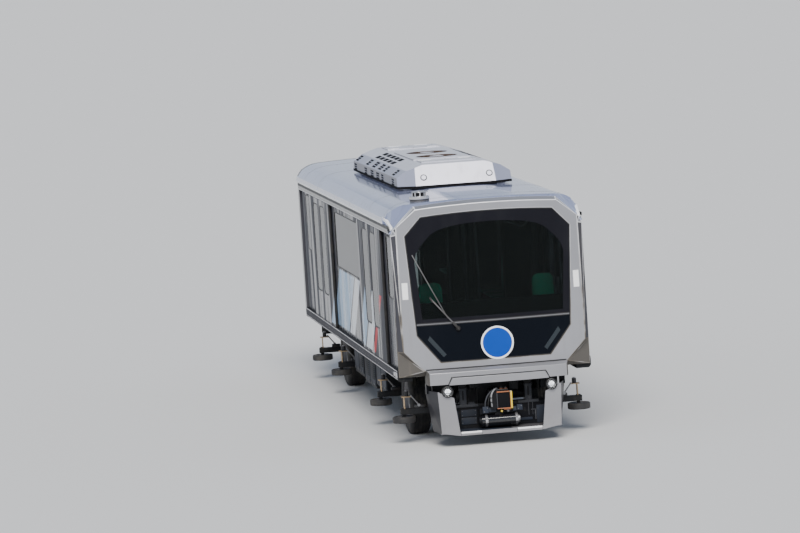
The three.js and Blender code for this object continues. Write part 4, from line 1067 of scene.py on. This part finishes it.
def road_wheel(end, side, x, sign):
    """The tyre with its ribs, and the rim with its bolts and its brake disc."""
    place, body = Vector((x, sign * WHEEL_Y, AXLE_Z)), f"wheel_{end}_{side}"
    tyre = lathe(tyre_profile(), place, "Y", 96, sign)
    piece(f"tyre_{end}_{side}_ribbed", {TYRE_RUBBER: [tyre]}, body, [f"tyre_{end}_{side}"], smooth=40)
    stud = place + Vector((0, sign * 0.052, 0.205))
    bolts = [rod(stud, "Y", sign * 0.018, 0.014, 6), rod(stud, "Y", sign * 0.026, 0.007, 8)]
    piece(f"rim_{end}_{side}_bolted", {
        WHEEL: [lathe(RIM_PROFILE, place, "Y", 64, sign)],
        STEEL: [*[ring_row(bolt, 10, place, "Y") for bolt in bolts], lathe(BRAKE_DISC, place, "Y", 64, sign)],
    }, body, [f"rim_{end}_{side}"], smooth=35)


def suspension(end, side, x, sign):
    """The air spring, the two dampers and the pipe along the bogie's frame."""
    bogie = f"bogie_{end}"
    piece(f"air_spring_{end}_{side}", {SEAL: [lathe(SPRING, (x, sign * 0.48, 0), "Z")]}, bogie, smooth=50)
    dampers, damper_rods = [], []
    for fore in SIGNS:
        foot = Vector((x + fore * 0.42, sign * 0.61, DAMPER_Z))
        dampers.append(rod(foot, "Z", DAMPER_BODY, 0.034, 20))
        for z in (0, DAMPER_TOP):
            dampers.append(block_at(foot, (-0.05, -0.045, z), (0.05, 0.045, z + 0.02), 0.004))
        damper_rods.append(rod(foot + AXES["Z"] * DAMPER_BODY, "Z", DAMPER_TOP - DAMPER_BODY, 0.024, 20))
    piece(f"dampers_{end}_{side}", {FRAME: dampers, DULL: damper_rods}, bogie)
    rear = [(x - along, sign * y, z) for along, y, z in PIPE_LINE]
    front = [(x + along, sign * y, z) for along, y, z in reversed(PIPE_LINE)]
    piece(f"bogie_pipes_{end}_{side}", {HOSE: [pipe(rear + front, 0.0085)]}, bogie)


def guide_wheel(end, side, along, x, sign, fore):
    """A horizontal guide wheel with its hub, and the bracket that it hangs from."""
    at = x + fore * GUIDE["x"]
    hub = Vector((at, sign * GUIDE["y"], GUIDE["z"]))
    nut = rod(hub + Vector((0.08, 0, 0.019)), "Z", 0.01, 0.008, 6)
    piece(f"guide_{end}_{side}_{along}_tyred", {
        GUIDE_RUBBER: [lathe(GUIDE_TYRE, hub, "Z")],
        WHEEL: [lathe(GUIDE_HUB, hub, "Z", 32), ring_row(nut, 6, hub, "Z")],
    }, f"guide_{end}_{side}_{along}", [f"guide_wheel_{end}_{side}_{along}"], smooth=35)
    link = at + fore * 0.062
    piece(f"guide_bracket_{end}_{side}_{along}", {
        BEIGE: [
            on_side(sign, at - 0.042, at + 0.042, 1.222, 1.234, 0.5003, 0.66, 0.003),
            on_side(sign, at - 0.05, at + 0.05, 1.13, 1.262, 0.66, 0.674, 0.003),
        ],
        CAST: [
            rod((at, sign * KINGPIN_Y, 0.674), "Z", 0.068, 0.032, 20),
            on_side(sign, at - 0.035, at + 0.035, 0.95, 1.08, 0.5003, 0.545, 0.006),
            rod((at, sign * GUIDE["y"], 0.5), "Z", 0.012, 0.03, 6),
        ],
        STEEL: [
            rod((at, sign * KINGPIN_Y, 0.742), "Z", 0.014, 0.02, 20),
            bar((link, sign * 1.14, 0.69), (link, sign * 1.03, 0.55), 0.01),
            rod((at + fore * 0.05, sign * 1.03, 0.545), "X", fore * 0.025, 0.02),
        ],
    }, f"bogie_{end}")


for end, x in AXLE_X.items():
    refined(f"axle_{end}", CAST, body=f"bogie_{end}", edge=0.006, smooth=25)
    refined(f"bogie_frame_{end}", FRAME, body=f"bogie_{end}", edge=0.005, smooth=25)
    axle_dressing(end, x)
    for side, sign in SIDES.items():
        road_wheel(end, side, x, sign)
        suspension(end, side, x, sign)
        for along, fore in (("fore", 1), ("aft", -1)):
            guide_wheel(end, side, along, x, sign, fore)


# Equipment boxes under the floor with their lids, vents and latches
refined("underfloor_equipment", FRAME, edge=0.008, smooth=10)
LID_TOP = 0.97
LIDS = [
    (-1.28, -0.79, 0.45), (-0.76, -0.27, 0.45), (-0.12, 0.43, 0.39), (0.47, 1.02, 0.39), (1.17, 1.66, 0.45),
    (1.69, 2.18, 0.45),
]
LIDS_WITH_VENTS = LIDS[1:4]
LID_Y, LID_OUT = 1.0803, 1.089
CONDUITS = ((0.3, 0.985, 0.018), (0.36, 0.985, 0.014), (0.4, 0.99, 0.01))
CONDUIT_RUNS = ((-4.7, -3.3, -1.35), (2.25, 3.4, 5.15))
TANK_Y, TANK_Z, TANK_RADIUS = 1.02, 0.8, 0.12
TANK_STRAPS = (-4.84, -4.55)
lids, louvres, lid_latches, conduits, tanks = [], [], [], [], []
for sign in SIGNS:
    for x0, x1, z0 in LIDS:
        lids.append(plate([outline(x0, x1, z0, LID_TOP, 0.02)], "Y", sign * LID_Y, sign * LID_OUT))
        locks = [(x, sign * LID_OUT, LID_TOP - 0.05) for x in (x0 + 0.08, x1 - 0.08)]
        lid_latches += studs(locks, "Y", 0.016, sign * 0.008, 16)
        lid_latches += [
            on_side(sign, x - 0.03, x + 0.03, LID_OUT, 1.097, z0 + 0.01, z0 + 0.045, 0.003)
            for x in (x0 + 0.1, x1 - 0.1)
        ]
    for x0, x1, z0 in LIDS_WITH_VENTS:
        louvres += [
            on_side(sign, x0 + 0.06, x1 - 0.06, 1.0885, 1.096, z, z + 0.015, 0.002)
            for z in spread(z0 + 0.1, z0 + 0.388, 10)
        ]
    for y, z, radius in CONDUITS:
        conduits += [pipe([(x, sign * y, z) for x in run], radius) for run in CONDUIT_RUNS]
    tanks.append(rod((-4.93, sign * TANK_Y, TANK_Z), "X", 0.5, TANK_RADIUS, 32))
    for x in TANK_STRAPS:
        tanks.append(on_side(sign, x, x + 0.03, TANK_Y - 0.125, TANK_Y + 0.125, 0.675, 1.0097, 0.004))
piece("equipment_lids", {BAY: lids}, edge=0.002)
piece("equipment_louvres", {FRAME: louvres})
piece("equipment_latches", {DULL: lid_latches})
piece("floor_conduits", {HOSE: conduits})
piece("air_tanks", {FRAME: tanks}, edge=0.004)


# Body sides, windows and doors
def wall_look(at, normal):
    """Side paint outside and lining inside."""
    return 1 if abs(at.y) < 1.25 and abs(normal.y) > 0.5 else 0


SHOES, SHOE_LENGTH, SHOE_Y, SHOE_TOP = (0.12, 0.96), 0.16, (1.32, 1.344), 2.9894
GLASS_BACK, GLASS_FRONT = 0.012, 0.004


def door_leaf(end, side, leaf, along):
    """One leaf: its skin with an opening and two hanger shoes, its glass, and its seals and edges."""
    node, body, sign = f"door_leaf_{end}_{side}_{leaf}", f"door_{end}_{side}_{leaf}", SIDES[side]
    inner, outer = (sign * y for y in LEAF_Y)
    z0, z1 = LEAF_Z
    seam_end, edge_start = LEAF_SEAM + 0.012, LEAF_EDGE - 0.004

    def span(near, far):
        """From where to where along the car, for two distances from the doorway's middle."""
        return sorted((DOOR_X[end] + along * near, DOOR_X[end] + along * far))

    def framed(out, into, near, far):
        """A frame round the opening, between two heights over the skin."""
        return plate(frame_of(*opening, out, into), "Y", outer + sign * near, outer + sign * far)

    opening = (*span(*PANE_X), *PANE_Z, PANE_ROUND)
    edges = [outline(*span(seam_end, edge_start), z0, z1, 0.006, 2), outline(*opening)]
    skin = plate(edges, "Y", inner, outer)
    shoes = [on_side(sign, *span(at, at + SHOE_LENGTH), *SHOE_Y, z1 - 0.003, SHOE_TOP) for at in SHOES]
    piece(f"{node}_skin", {SIDE: [skin, *shoes]}, body, [node], smooth=28, edge=0.002)
    glass = frame_of(*opening, -0.001, 0)[:1]
    pane = plate(glass, "Y", outer - sign * GLASS_BACK, outer - sign * GLASS_FRONT)
    piece(f"{node}_glass", {TINTED: [pane]}, body)
    piece(f"{node}_seals", {
        SEAL: [
            framed(0.002, 0.012, -0.004, 0.001),
            on_side(sign, *span(LEAF_SEAM, seam_end), LEAF_Y[0] + 0.002, LEAF_Y[1] - 0.002, z0, z1, 0.004),
            on_side(sign, *span(edge_start, LEAF_EDGE), *LEAF_Y, z0, z1, 0.001),
        ],
        GREY_PAINT_AND_SHADE: [
            framed(-0.012, 0.017, -0.004, -0.0005),
            on_side(sign, *span(LEAF_SEAM + 0.03, LEAF_EDGE - 0.02), 1.3601, 1.3612, 1.104, 1.114),
        ],
    }, body)


for side, sign in SIDES.items():
    refined(f"side_wall_{side}", SIDE, LINING, edge=0.003, smooth=28, choose=wall_look)
    near, far = sign * 1.3098, sign * 1.313
    for name, window in WINDOWS.items():
        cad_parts[f"window_{name}_{side}"].material_slots[0].material = TINTED
        rim = plate(frame_of(*window, 0.06, 0.004, 0.012), "Y", near, far)
        piece(f"window_seal_{name}_{side}", {SEAL: [rim]})
    joints = [on_side(sign, x, x + 0.006, ON_WALL, 1.312, 1.092, 2.988) for x in (4.66, 1.93, -1.05, -3.8)]
    piece(f"side_joints_{side}", {SEAL: [*joints, on_side(sign, 0.44, 0.445, ON_WALL, 1.3115, 1.092, 2.05)]})
    for end in DOOR_X:
        door_leaf(end, side, "a", 1)
        door_leaf(end, side, "b", -1)


# Underframe with its sill trim
def underframe_look(at, normal):
    """Edge paint on the sill band."""
    return 1 if abs(at.y) > 1.32 else 0


refined("underframe", FRAME, GREY_PAINT_AND_SHADE, edge=0.004, smooth=25, choose=underframe_look)
SILL_TRIM = [
    (REAR_X, FRONT_X - 0.01, 1.3618, 1.074, 1.085, 0), (REAR_X, FRONT_X - 0.01, 1.3614, 0.966, 0.974, 0),
    (5.33, 5.5, 1.367, 0.985, 1.062, 0.012), (5.16, 5.28, 1.366, 0.995, 1.05, 0.008),
]
trim, sill_bolts = [], []
for sign in SIGNS:
    trim += [on_side(sign, x0, x1, ON_BAND, far, z0, z1, edge) for x0, x1, far, z0, z1, edge in SILL_TRIM]
    places = [(x, sign * ON_BAND, 1.02) for x in spread(-4.8, 5.0, 29)]
    sill_bolts += studs(places, "Y", 0.01, sign * 0.004, 8)
piece("sill_trim", {BRIGHT: trim})
piece("sill_bolts", {DULL: sill_bolts})


# Roof with its gutters and joints, painted highlights on the gutter lips and on the strips beside the slope,
# and painted shadows under the gutters
def roof_look(at, normal):
    """Lining below, a painted highlight on the strips beside the slope, end paint on the low edges, roof
    paint elsewhere.
    """
    if normal.z < -0.9 and abs(at.y) < 1.24:
        return 2
    if at.x > 5.03:
        y, z = edge_line(at.x)
        if abs(abs(at.y) - y) < 0.022 and abs(at.z - z) < 0.022:
            return 3
    return 1 if abs(at.y) > 1.2 and at.z < 3.1001 and abs(normal.x) < 0.5 else 0


def across_roof(x0, x1, above):
    """A thin strip that follows the roof from one gutter to the other."""
    line = whole(ROOF_LINE, [(y / 8, roof_z(y / 8)) for y in range(8, -9, -1)])
    band = [(y, z + above) for y, z in line] + [(y, z - 0.002) for y, z in reversed(line)]
    return plate([band], "X", x0, x1)


refined("roof", ROOF, END_PAINT, LINING, WHITE, edge=0.005, smooth=14, choose=roof_look)
piece("roof_joints", {BAY: [across_roof(x, x + 0.007, 0.0008) for x in (4.95, 3.42, -2.42, -4.1)]})
# A white line on each gutter lip is a painted highlight; another white line runs along the band above the
# doors.
gutter_edges = [on_side(sign, REAR_X, 5.045, ON_GUTTER, 1.3772, 3.1, 3.126) for sign in SIGNS]
gutter_edges += [on_side(sign, REAR_X, FRONT_X, ON_BAND, 1.3612, 2.991, 2.997) for sign in SIGNS]
# A dark strip under each gutter paints its shadow on the header band.
gutter_shadows = [on_side(sign, REAR_X, 5.5, ON_BAND, 1.362, 3.05, 3.099) for sign in SIGNS]
piece("gutter_highlights_and_shadows", {WHITE: gutter_edges, SEAL: gutter_shadows})


# Roof vent: a bright flange, a drum painted black for the unlit openings between light bars, and a cap
VENT_FOOT = ring(0.06, 0.134, 0.004, 0.05)
VENT_FLANGE = profile((0, 50), (137, 50), (140, 54), (140, 88), (136, 94), (106, 98), (0, 98))
VENT_JOINT = ring(0.1345, 0.1385, 0.046, 0.0497)
VENT_DRUM = profile((0, 96), (92, 96), (92, 147), (0, 147))
VENT_CAP = profile((0, 144), (100, 144), (103, 148), (100, 153), (85, 159), (40, 162), (0, 163))
vent_bar = block_at(VENT_AT, (0.091, -0.008, 0.098), (0.101, 0.008, 0.145))
piece("roof_vent_slotted", {
    BRIGHT: [
        lathe(VENT_FLANGE, VENT_AT, "Z"), lathe(VENT_CAP, VENT_AT, "Z"), ring_row(vent_bar, 9, VENT_AT, "Z"),
    ],
    DARK: [lathe(line, VENT_AT, "Z") for line in (VENT_DRUM, VENT_JOINT)],
    DULL: [lathe(VENT_FOOT, VENT_AT, "Z")],
}, replaces=["roof_vent"])


# Air-conditioning unit
def unit_look(at, normal):
    """Painted shade: the sides take the darkest copy of the unit paint and the shoulders a darker one; the
    top and ends keep the pale paint.
    """
    if abs(normal.y) < 0.3:
        return 0
    return 2 if normal.z < 0.2 else 1


def on_facet(sign, facet, part, depth):
    """Half width and height of a point on one side facet of the unit, sunk by a depth."""
    first, last = Vector(UNIT_SECTION[facet]), Vector(UNIT_SECTION[facet + 1])
    along = last - first
    out = Vector((along.y, -along.x)).normalized()
    y, z = first + along * part - out * depth
    return sign * y, z


def facet_plate(sign, facet, p0, p1, x0, x1, near, far):
    """A plate that lies along one side facet of the unit, between two depths."""
    ya, za = on_facet(sign, facet, p0, near)
    yb, zb = on_facet(sign, facet, p1, near)
    y, z = on_facet(sign, facet, p0, far)
    return slab([(x0, ya, za), (x1, ya, za), (x1, yb, zb), (x0, yb, zb)], Vector((0, y - ya, z - za)))


refined("hvac_unit", HOUSING, UNIT_SHOULDER_SHADE, UNIT_SIDE_SHADE, edge=0.01, smooth=10, choose=unit_look)
SLOT_ROWS = [(0, 0.2, 0.8, [*SMALL_SLOTS, (2.25, 2.54)]), (1, 0.15, 0.85, [*SMALL_SLOTS, (2.13, 2.41)])]
SLOT_BAR_AT, SLOT_BAR_HALF = 0.35, 0.08
# Dark plates in the slots paint the shade inside them.
hollows, slot_bars = [], []
for sign in SIGNS:
    for facet, low, high, spans in SLOT_ROWS:
        middle, reach = (low + high) / 2, (high - low) / 2
        for x0, x1 in spans:
            hollows.append(facet_plate(sign, facet, low, high, x0, x1, 0.003, 0.0115))
            for up in SIGNS:
                part, half = middle + up * reach * SLOT_BAR_AT, reach * SLOT_BAR_HALF
                slot_bars.append(facet_plate(sign, facet, part - half, part + half, x0, x1, 0.001, 0.0029))
    hollows += [
        facet_plate(sign, 2, low, high, x0 - 0.05, x1 + 0.05, -0.0012, -0.0003)
        for low, high in ((0.11, 0.43), (0.57, 0.89)) for x0, x1 in LARGE_SLOTS
    ]
piece("unit_slot_hollows", {DARK: hollows})
piece("unit_slot_bars", {UNIT_SHOULDER_SHADE: slot_bars})

FOOT, CORNER_LEAN = 0.034, 0.612
SHADOW_LIFT, SHADOW_THICK = 0.0004, 0.002
SLOPE_OUT, CORNER_OUT = (0.867, 0, 0.498), (0.766, 0.438, 0.469)
UNIT_MIDDLE = (UNIT["front"] + UNIT["rear"]) / 2


def foot_shadows():
    """Painted shadow under the unit: dark strips along its front, its rear, its corners and its sides."""
    front, low, half, side = UNIT["front"], UNIT["z"], UNIT["half"], UNIT_SECTION[0][0]
    corner, back, up = front - UNIT["corner"], front - UNIT_LEAN * FOOT, low + FOOT
    turn = corner - CORNER_LEAN * FOOT
    end = [(front, -half, low), (front, half, low), (back, half, up), (back, -half, up)]
    bevel = [(front, half, low), (corner, side, low), (turn, side, up), (back, half, up)]
    strips = []
    for points, out, signs in ((end, SLOPE_OUT, (1,)), (bevel, CORNER_OUT, SIGNS)):
        for fore in SIGNS:
            for sign in signs:
                turned = [Vector((UNIT_MIDDLE + fore * (x - UNIT_MIDDLE), sign * y, z)) for x, y, z in points]
                way = Vector((fore * out[0], sign * out[1], out[2]))
                strips.append(slab([point + way * SHADOW_LIFT for point in turned], way * SHADOW_THICK))
    rear, near = 2 * UNIT_MIDDLE - corner, side + SHADOW_LIFT
    return strips + [on_side(sign, rear, corner, near, near + SHADOW_THICK, low, up) for sign in SIGNS]


piece("unit_foot_shadow", {DARK: foot_shadows()})
# Each latch is a pale dome in a dark ring that paints the shadow of its groove.
LATCH = profile((0, 0.3), (36, 0.3), (36, 4), (33, 6), (0, 6))
LATCH_SHADOW_RING = ring(0.0365, 0.049, 0.0003, 0.0035)
LATCH_Z = 3.562
latch_places = [(UNIT["front"] - UNIT_LEAN * (LATCH_Z - UNIT["z"]), y, LATCH_Z) for y in (-0.455, 0.5)]
piece("unit_latches", {
    HOUSING: [lathe(LATCH, place, SLOPE_OUT, 32) for place in latch_places],
    DARK: [lathe(LATCH_SHADOW_RING, place, SLOPE_OUT, 32) for place in latch_places],
})
# Painted highlights: white strips along the edges of the lids on top of the unit.
LID_HIGHLIGHT_SPANS = [(1.97, 0.2, 0.385), (-1.2, 0.22, 0.385), (-1.79, 0.1, 0.3)]
piece("unit_lid_highlights", {WHITE: [
    on_side(sign, x, x + 0.05, y0, y1, UNIT_TOP, 3.7547, 0.001) for x, y0, y1 in LID_HIGHLIGHT_SPANS for sign in SIGNS
]})
lid_bolts = [(x, y, UNIT_TOP) for x in (-1.65, -1.12, 2.08, 2.38) for y in (-0.36, 0, 0.36)]
piece("unit_lid_bolts", {DULL: studs(lid_bolts, "Z", 0.01, 0.003, 8)})

# The well round each fan is lined with black that paints the shade in the recess.
FAN_WELL = profile((0, 0.5), (309.5, 0.5), (309.5, 44), (306, 44), (306, 4), (0, 4))
FAN_MOTOR = profile((0, 10), (60, 10), (60, 45), (40, 52), (0, 52))
FAN_HUB = profile((0, 53), (105, 53), (105, 57), (80, 59.8), (0, 59.8))
GUARD_RINGS = (0.07, 0.13, 0.19, 0.25, 0.302)
BLADE_CORNERS = [(0.05, -0.03, 0.017), (0.285, -0.075, 0.011), (0.285, 0.045, 0.043), (0.05, 0.03, 0.035)]
for name, x in FAN_X.items():
    centre = Vector((x, 0, FAN_Z))
    blade = slab([centre + Vector(corner) for corner in BLADE_CORNERS], (0, 0, 0.004))
    spoke = block_at(centre, (0.06, -0.004, 0.0515), (0.309, 0.004, 0.057))
    guard = [lathe(ring(r - 0.003, r + 0.003, 0.052, 0.058), centre, "Z", 40) for r in GUARD_RINGS]
    piece(f"unit_fan_{name}", {
        FAN: [
            ring_row(blade, 7, centre, "Z"), ring_row(spoke, 8, centre, "Z"), *guard,
            lathe(FAN_MOTOR, centre, "Z", 32),
        ],
        DARK: [lathe(FAN_WELL, centre, "Z")],
        HOUSING: [lathe(FAN_HUB, centre, "Z", 32)],
    }, smooth=35)


# Rear end: wall, gangway and coupler
def rear_look(at, normal):
    """Dark edge paint on the faces that look forward."""
    return int(normal.x > 0.9)


REAR_WALL_X, GANGWAY_X = -5.2503, -5.5345
RAIL_Z = (1.3, 2.22)
refined("rear_end_wall", END_PAINT, GREY_PAINT_AND_SHADE, edge=0.008, smooth=10, choose=rear_look)
refined("gangway_bellows", BELLOWS, edge=0.006, smooth=10)
refined("rear_coupler", STEEL, edge=0.004, smooth=25)
GANGWAY_RING = [outline(-0.719, 0.719, 1.001, 3.159, 0.004, 2), outline(-0.585, 0.585, 1.101, 3.03, 0.01, 2)]
frame_bolts = [(GANGWAY_X, y, z) for y in (-0.65, 0.65) for z in spread(1.15, 3.0, 9)]
piece("gangway_end_frame", {
    DULL: [plate(GANGWAY_RING, "X", -5.5305, GANGWAY_X)], STEEL: studs(frame_bolts, "X", 0.012, -0.006),
})
rails, sockets, plugs, wall_joints = [], [], [], []
for sign in SIGNS:
    y = sign * 0.98
    bottom, top = RAIL_Z
    bends = [(-5.3, y, z) for z in (bottom, 1.42, 2.1, top)]
    rails.append(pipe([(REAR_WALL_X, y, bottom), *bends, (REAR_WALL_X, y, top)], 0.013))
    rails += studs([(REAR_WALL_X, y, z) for z in RAIL_Z], "X", 0.032, -0.0067, 20)
    y = sign * 0.62
    sockets.append(block((-5.29, y - 0.09, 0.955), (REAR_WALL_X, y + 0.09, 1.0), 0.006))
    plugs.append(rod((-5.29, y, 0.978), "X", -0.025, 0.018, 20))
    wall_joints.append(on_side(sign, -5.2512, REAR_WALL_X, 0.837, 0.843, 1.12, 3.05))
    wall_joints.append(on_side(sign, -5.2512, REAR_WALL_X, 0.73, 1.2, 1.118, 1.123))
piece("rear_hand_rails", {BRIGHT: rails})
piece("rear_sockets", {FRAME: sockets, DULL: plugs})
piece("rear_wall_joints", {SEAL: wall_joints})
piece("rear_coupler_bolts", {DULL: [
    ring_row(rod((-5.8597, 0.085, COUPLER_Z), "X", 0.0137, 0.011, 6), 8, (-5.86, 0, COUPLER_Z), "X"),
    ring_row(rod((-4.9405, 0.095, COUPLER_Z), "X", -0.0135, 0.012, 6), 8, (-4.94, 0, COUPLER_Z), "X"),
]})


# Inside: floor covering, seats, poles, rails and ceiling lights
BACK_X, BACK_Z = (5.252, 5.272, 5.284), 1.62
BACK_ROLL, BACK_ROUND, BACK_INNER_ROUND = 0.022, 0.62, 0.5


def seat_back(y, z, half):
    """A round-topped seat shell that stands behind the front glass, with its rolled edge."""
    outer = outline(y - half, y + half, BACK_Z, z, half * BACK_ROUND)
    across = half - BACK_ROLL
    low, high = BACK_Z + BACK_ROLL, z - BACK_ROLL
    inner = outline(y - across, y + across, low, high, half * BACK_INNER_ROUND)
    return [plate([outer], "X", *BACK_X[:2]), plate([outer, inner], "X", *BACK_X[1:])]


refined("bench_front", BENCH, edge=0.02, smooth=10)
piece("bench_cushions", {SEAT: blocks(
    (4.965, 5.24, y, y + 0.5, 1.5605, 1.6, 0.016) for y in spread(-1.03, 0.53, 4)
)})
piece("bench_seat_backs", {SHELL: [*seat_back(0.79, 2.27, 0.15), *seat_back(-0.8, 2.25, 0.17)]}, edge=0.003)
piece("inside_floor", {FLOORING: blocks([(-5.16, 4.955, -1.205, 1.205, 1.1005, 1.104, 0)])})
for name, xs in {"middle": spread(-0.65, 1.55, 5), "rear": spread(-4.6, -4.1, 2)}.items():
    shells, feet = [], []
    for x in xs:
        for sign in SIGNS:
            shells += [
                on_side(sign, x - 0.215, x + 0.215, 0.8, 1.2, 1.52, 1.56, 0.016),
                strut((x, sign * 1.185, 1.56), (x, sign * 1.222, 2.02), 0.43, 0.035, (0, 1, 0), 0.014),
            ]
            feet += [
                on_side(sign, x - 0.03, x + 0.03, 0.86, 1.2, 1.4, 1.52, 0.004),
                on_side(sign, x - 0.02, x + 0.02, 1.12, 1.18, 1.104, 1.4, 0.004),
            ]
    piece(f"seats_{name}", {SEAT: shells, DULL: feet})


def upright(x, y, radius):
    """A pole from the floor to the ceiling."""
    low, high = POLE_Z
    return bar((x, y, low), (x, y, high), radius)


screens, screen_bars = [], []
for x in (1.96, -1.14, -3.72):
    for sign in SIGNS:
        y0, y1 = sorted((sign * 0.8, sign * 1.195))
        screens.append(plate([outline(y0, y1, 1.16, 2.74, 0.06)], "X", x, x + 0.018))
        screen_bars.append(upright(x + 0.009, sign * 0.785, 0.016))
        screen_bars += blocks((x - 0.006, x + 0.024, y0, y1, z, z + 0.03, 0.003) for z in (1.135, 2.735))
piece("draught_screens", {LINING: screens, DULL: screen_bars}, edge=0.002)

RAIL_Y, RAIL_HEIGHT = 0.7, 2.86
COLLARS = ((POLE_Z[0], 0.0205), (3.07, 0.0195))
poles = []
for x in (-4.3, -2.42, -0.9, 0.45, 1.8, 3.3, 4.55):
    for y in ((-0.45, 0.45) if x in (0.45, -4.3) else (0,)):
        poles.append(upright(x, y, 0.017))
        poles += [rod((x, y, z), "Z", height, 0.045, 24) for z, height in COLLARS]
for sign in SIGNS:
    y = sign * RAIL_Y
    ends = [(-4.7, 3.0), *((x, RAIL_HEIGHT) for x in (-4.6, -3.0, 3.0, 4.7)), (4.8, 3.0)]
    poles.append(pipe([(x, y, z) for x, z in ends], 0.015))
    poles += [bar((x, y, RAIL_HEIGHT), (x, y, POLE_Z[1]), 0.012, 12) for x in (-3.6, -1.2, 1.2, 3.6)]
piece("hand_poles", {STEEL: poles})
piece("ceiling_lights", {WHITE: [
    on_side(sign, x, x + 2.2, 0.44, 0.56, 3.072, POLE_Z[1], 0.006)
    for x in (-4.75, -2.35, 0.05, 2.45) for sign in SIGNS
]})
piece("ceiling_grilles", {LINING: blocks(
    (-4.7, 4.75, y, y + 0.012, 3.082, POLE_Z[1], 0) for y in spread(-0.22, 0.21, 9)
)})


# Floor and studio light
floor = bmesh.new()
bmesh.ops.create_circle(floor, cap_ends=True, segments=96, radius=420)
floor_mesh = bpy.data.meshes.new("studio_floor")
floor.to_mesh(floor_mesh)
floor.free()
ground = bpy.data.objects.new("studio_floor", floor_mesh)
scene.collection.objects.link(ground)
stone = bpy.data.materials.new("pale studio floor")
stone.use_nodes = True
matt = stone.node_tree.nodes["Principled BSDF"].inputs
matt["Base Color"].default_value = (0.7, 0.7, 0.69, 1)
matt["Roughness"].default_value = 0.85
floor_mesh.materials.append(stone)

# A soft sky that darkens upwards, and one broad sun from the front
SKY = [
    (0.0, (0.74, 0.79, 0.88)), (0.16, (0.64, 0.71, 0.83)), (0.5, (0.28, 0.33, 0.43)),
    (1.0, (0.22, 0.27, 0.36)),
]
world = bpy.data.worlds.new("studio")
world.use_nodes = True
sky = world.node_tree
way = add_node(sky, "ShaderNodeTexCoord").outputs["Generated"]
shades = add_node(sky, "ShaderNodeValToRGB", {0: add_node(sky, "ShaderNodeSeparateXYZ", {0: way}).outputs[2]})
for step, (height, colour) in enumerate(SKY):
    stop = shades.color_ramp.elements[step] if step < 2 else shades.color_ramp.elements.new(height)
    stop.position = height
    stop.color = opaque(colour)
sky.links.new(shades.outputs[0], sky.nodes["Background"].inputs[0])
scene.world = world

sun = bpy.data.lights.new("sun", "SUN")
sun.energy = 4.6
sun.angle = math.radians(32)
sun.color = (1.0, 0.97, 0.93)
sunlight = bpy.data.objects.new("sun", sun)
sunlight.rotation_euler = Vector((-0.85, 0.14, -0.8)).to_track_quat("-Z", "Y").to_euler()
scene.collection.objects.link(sunlight)
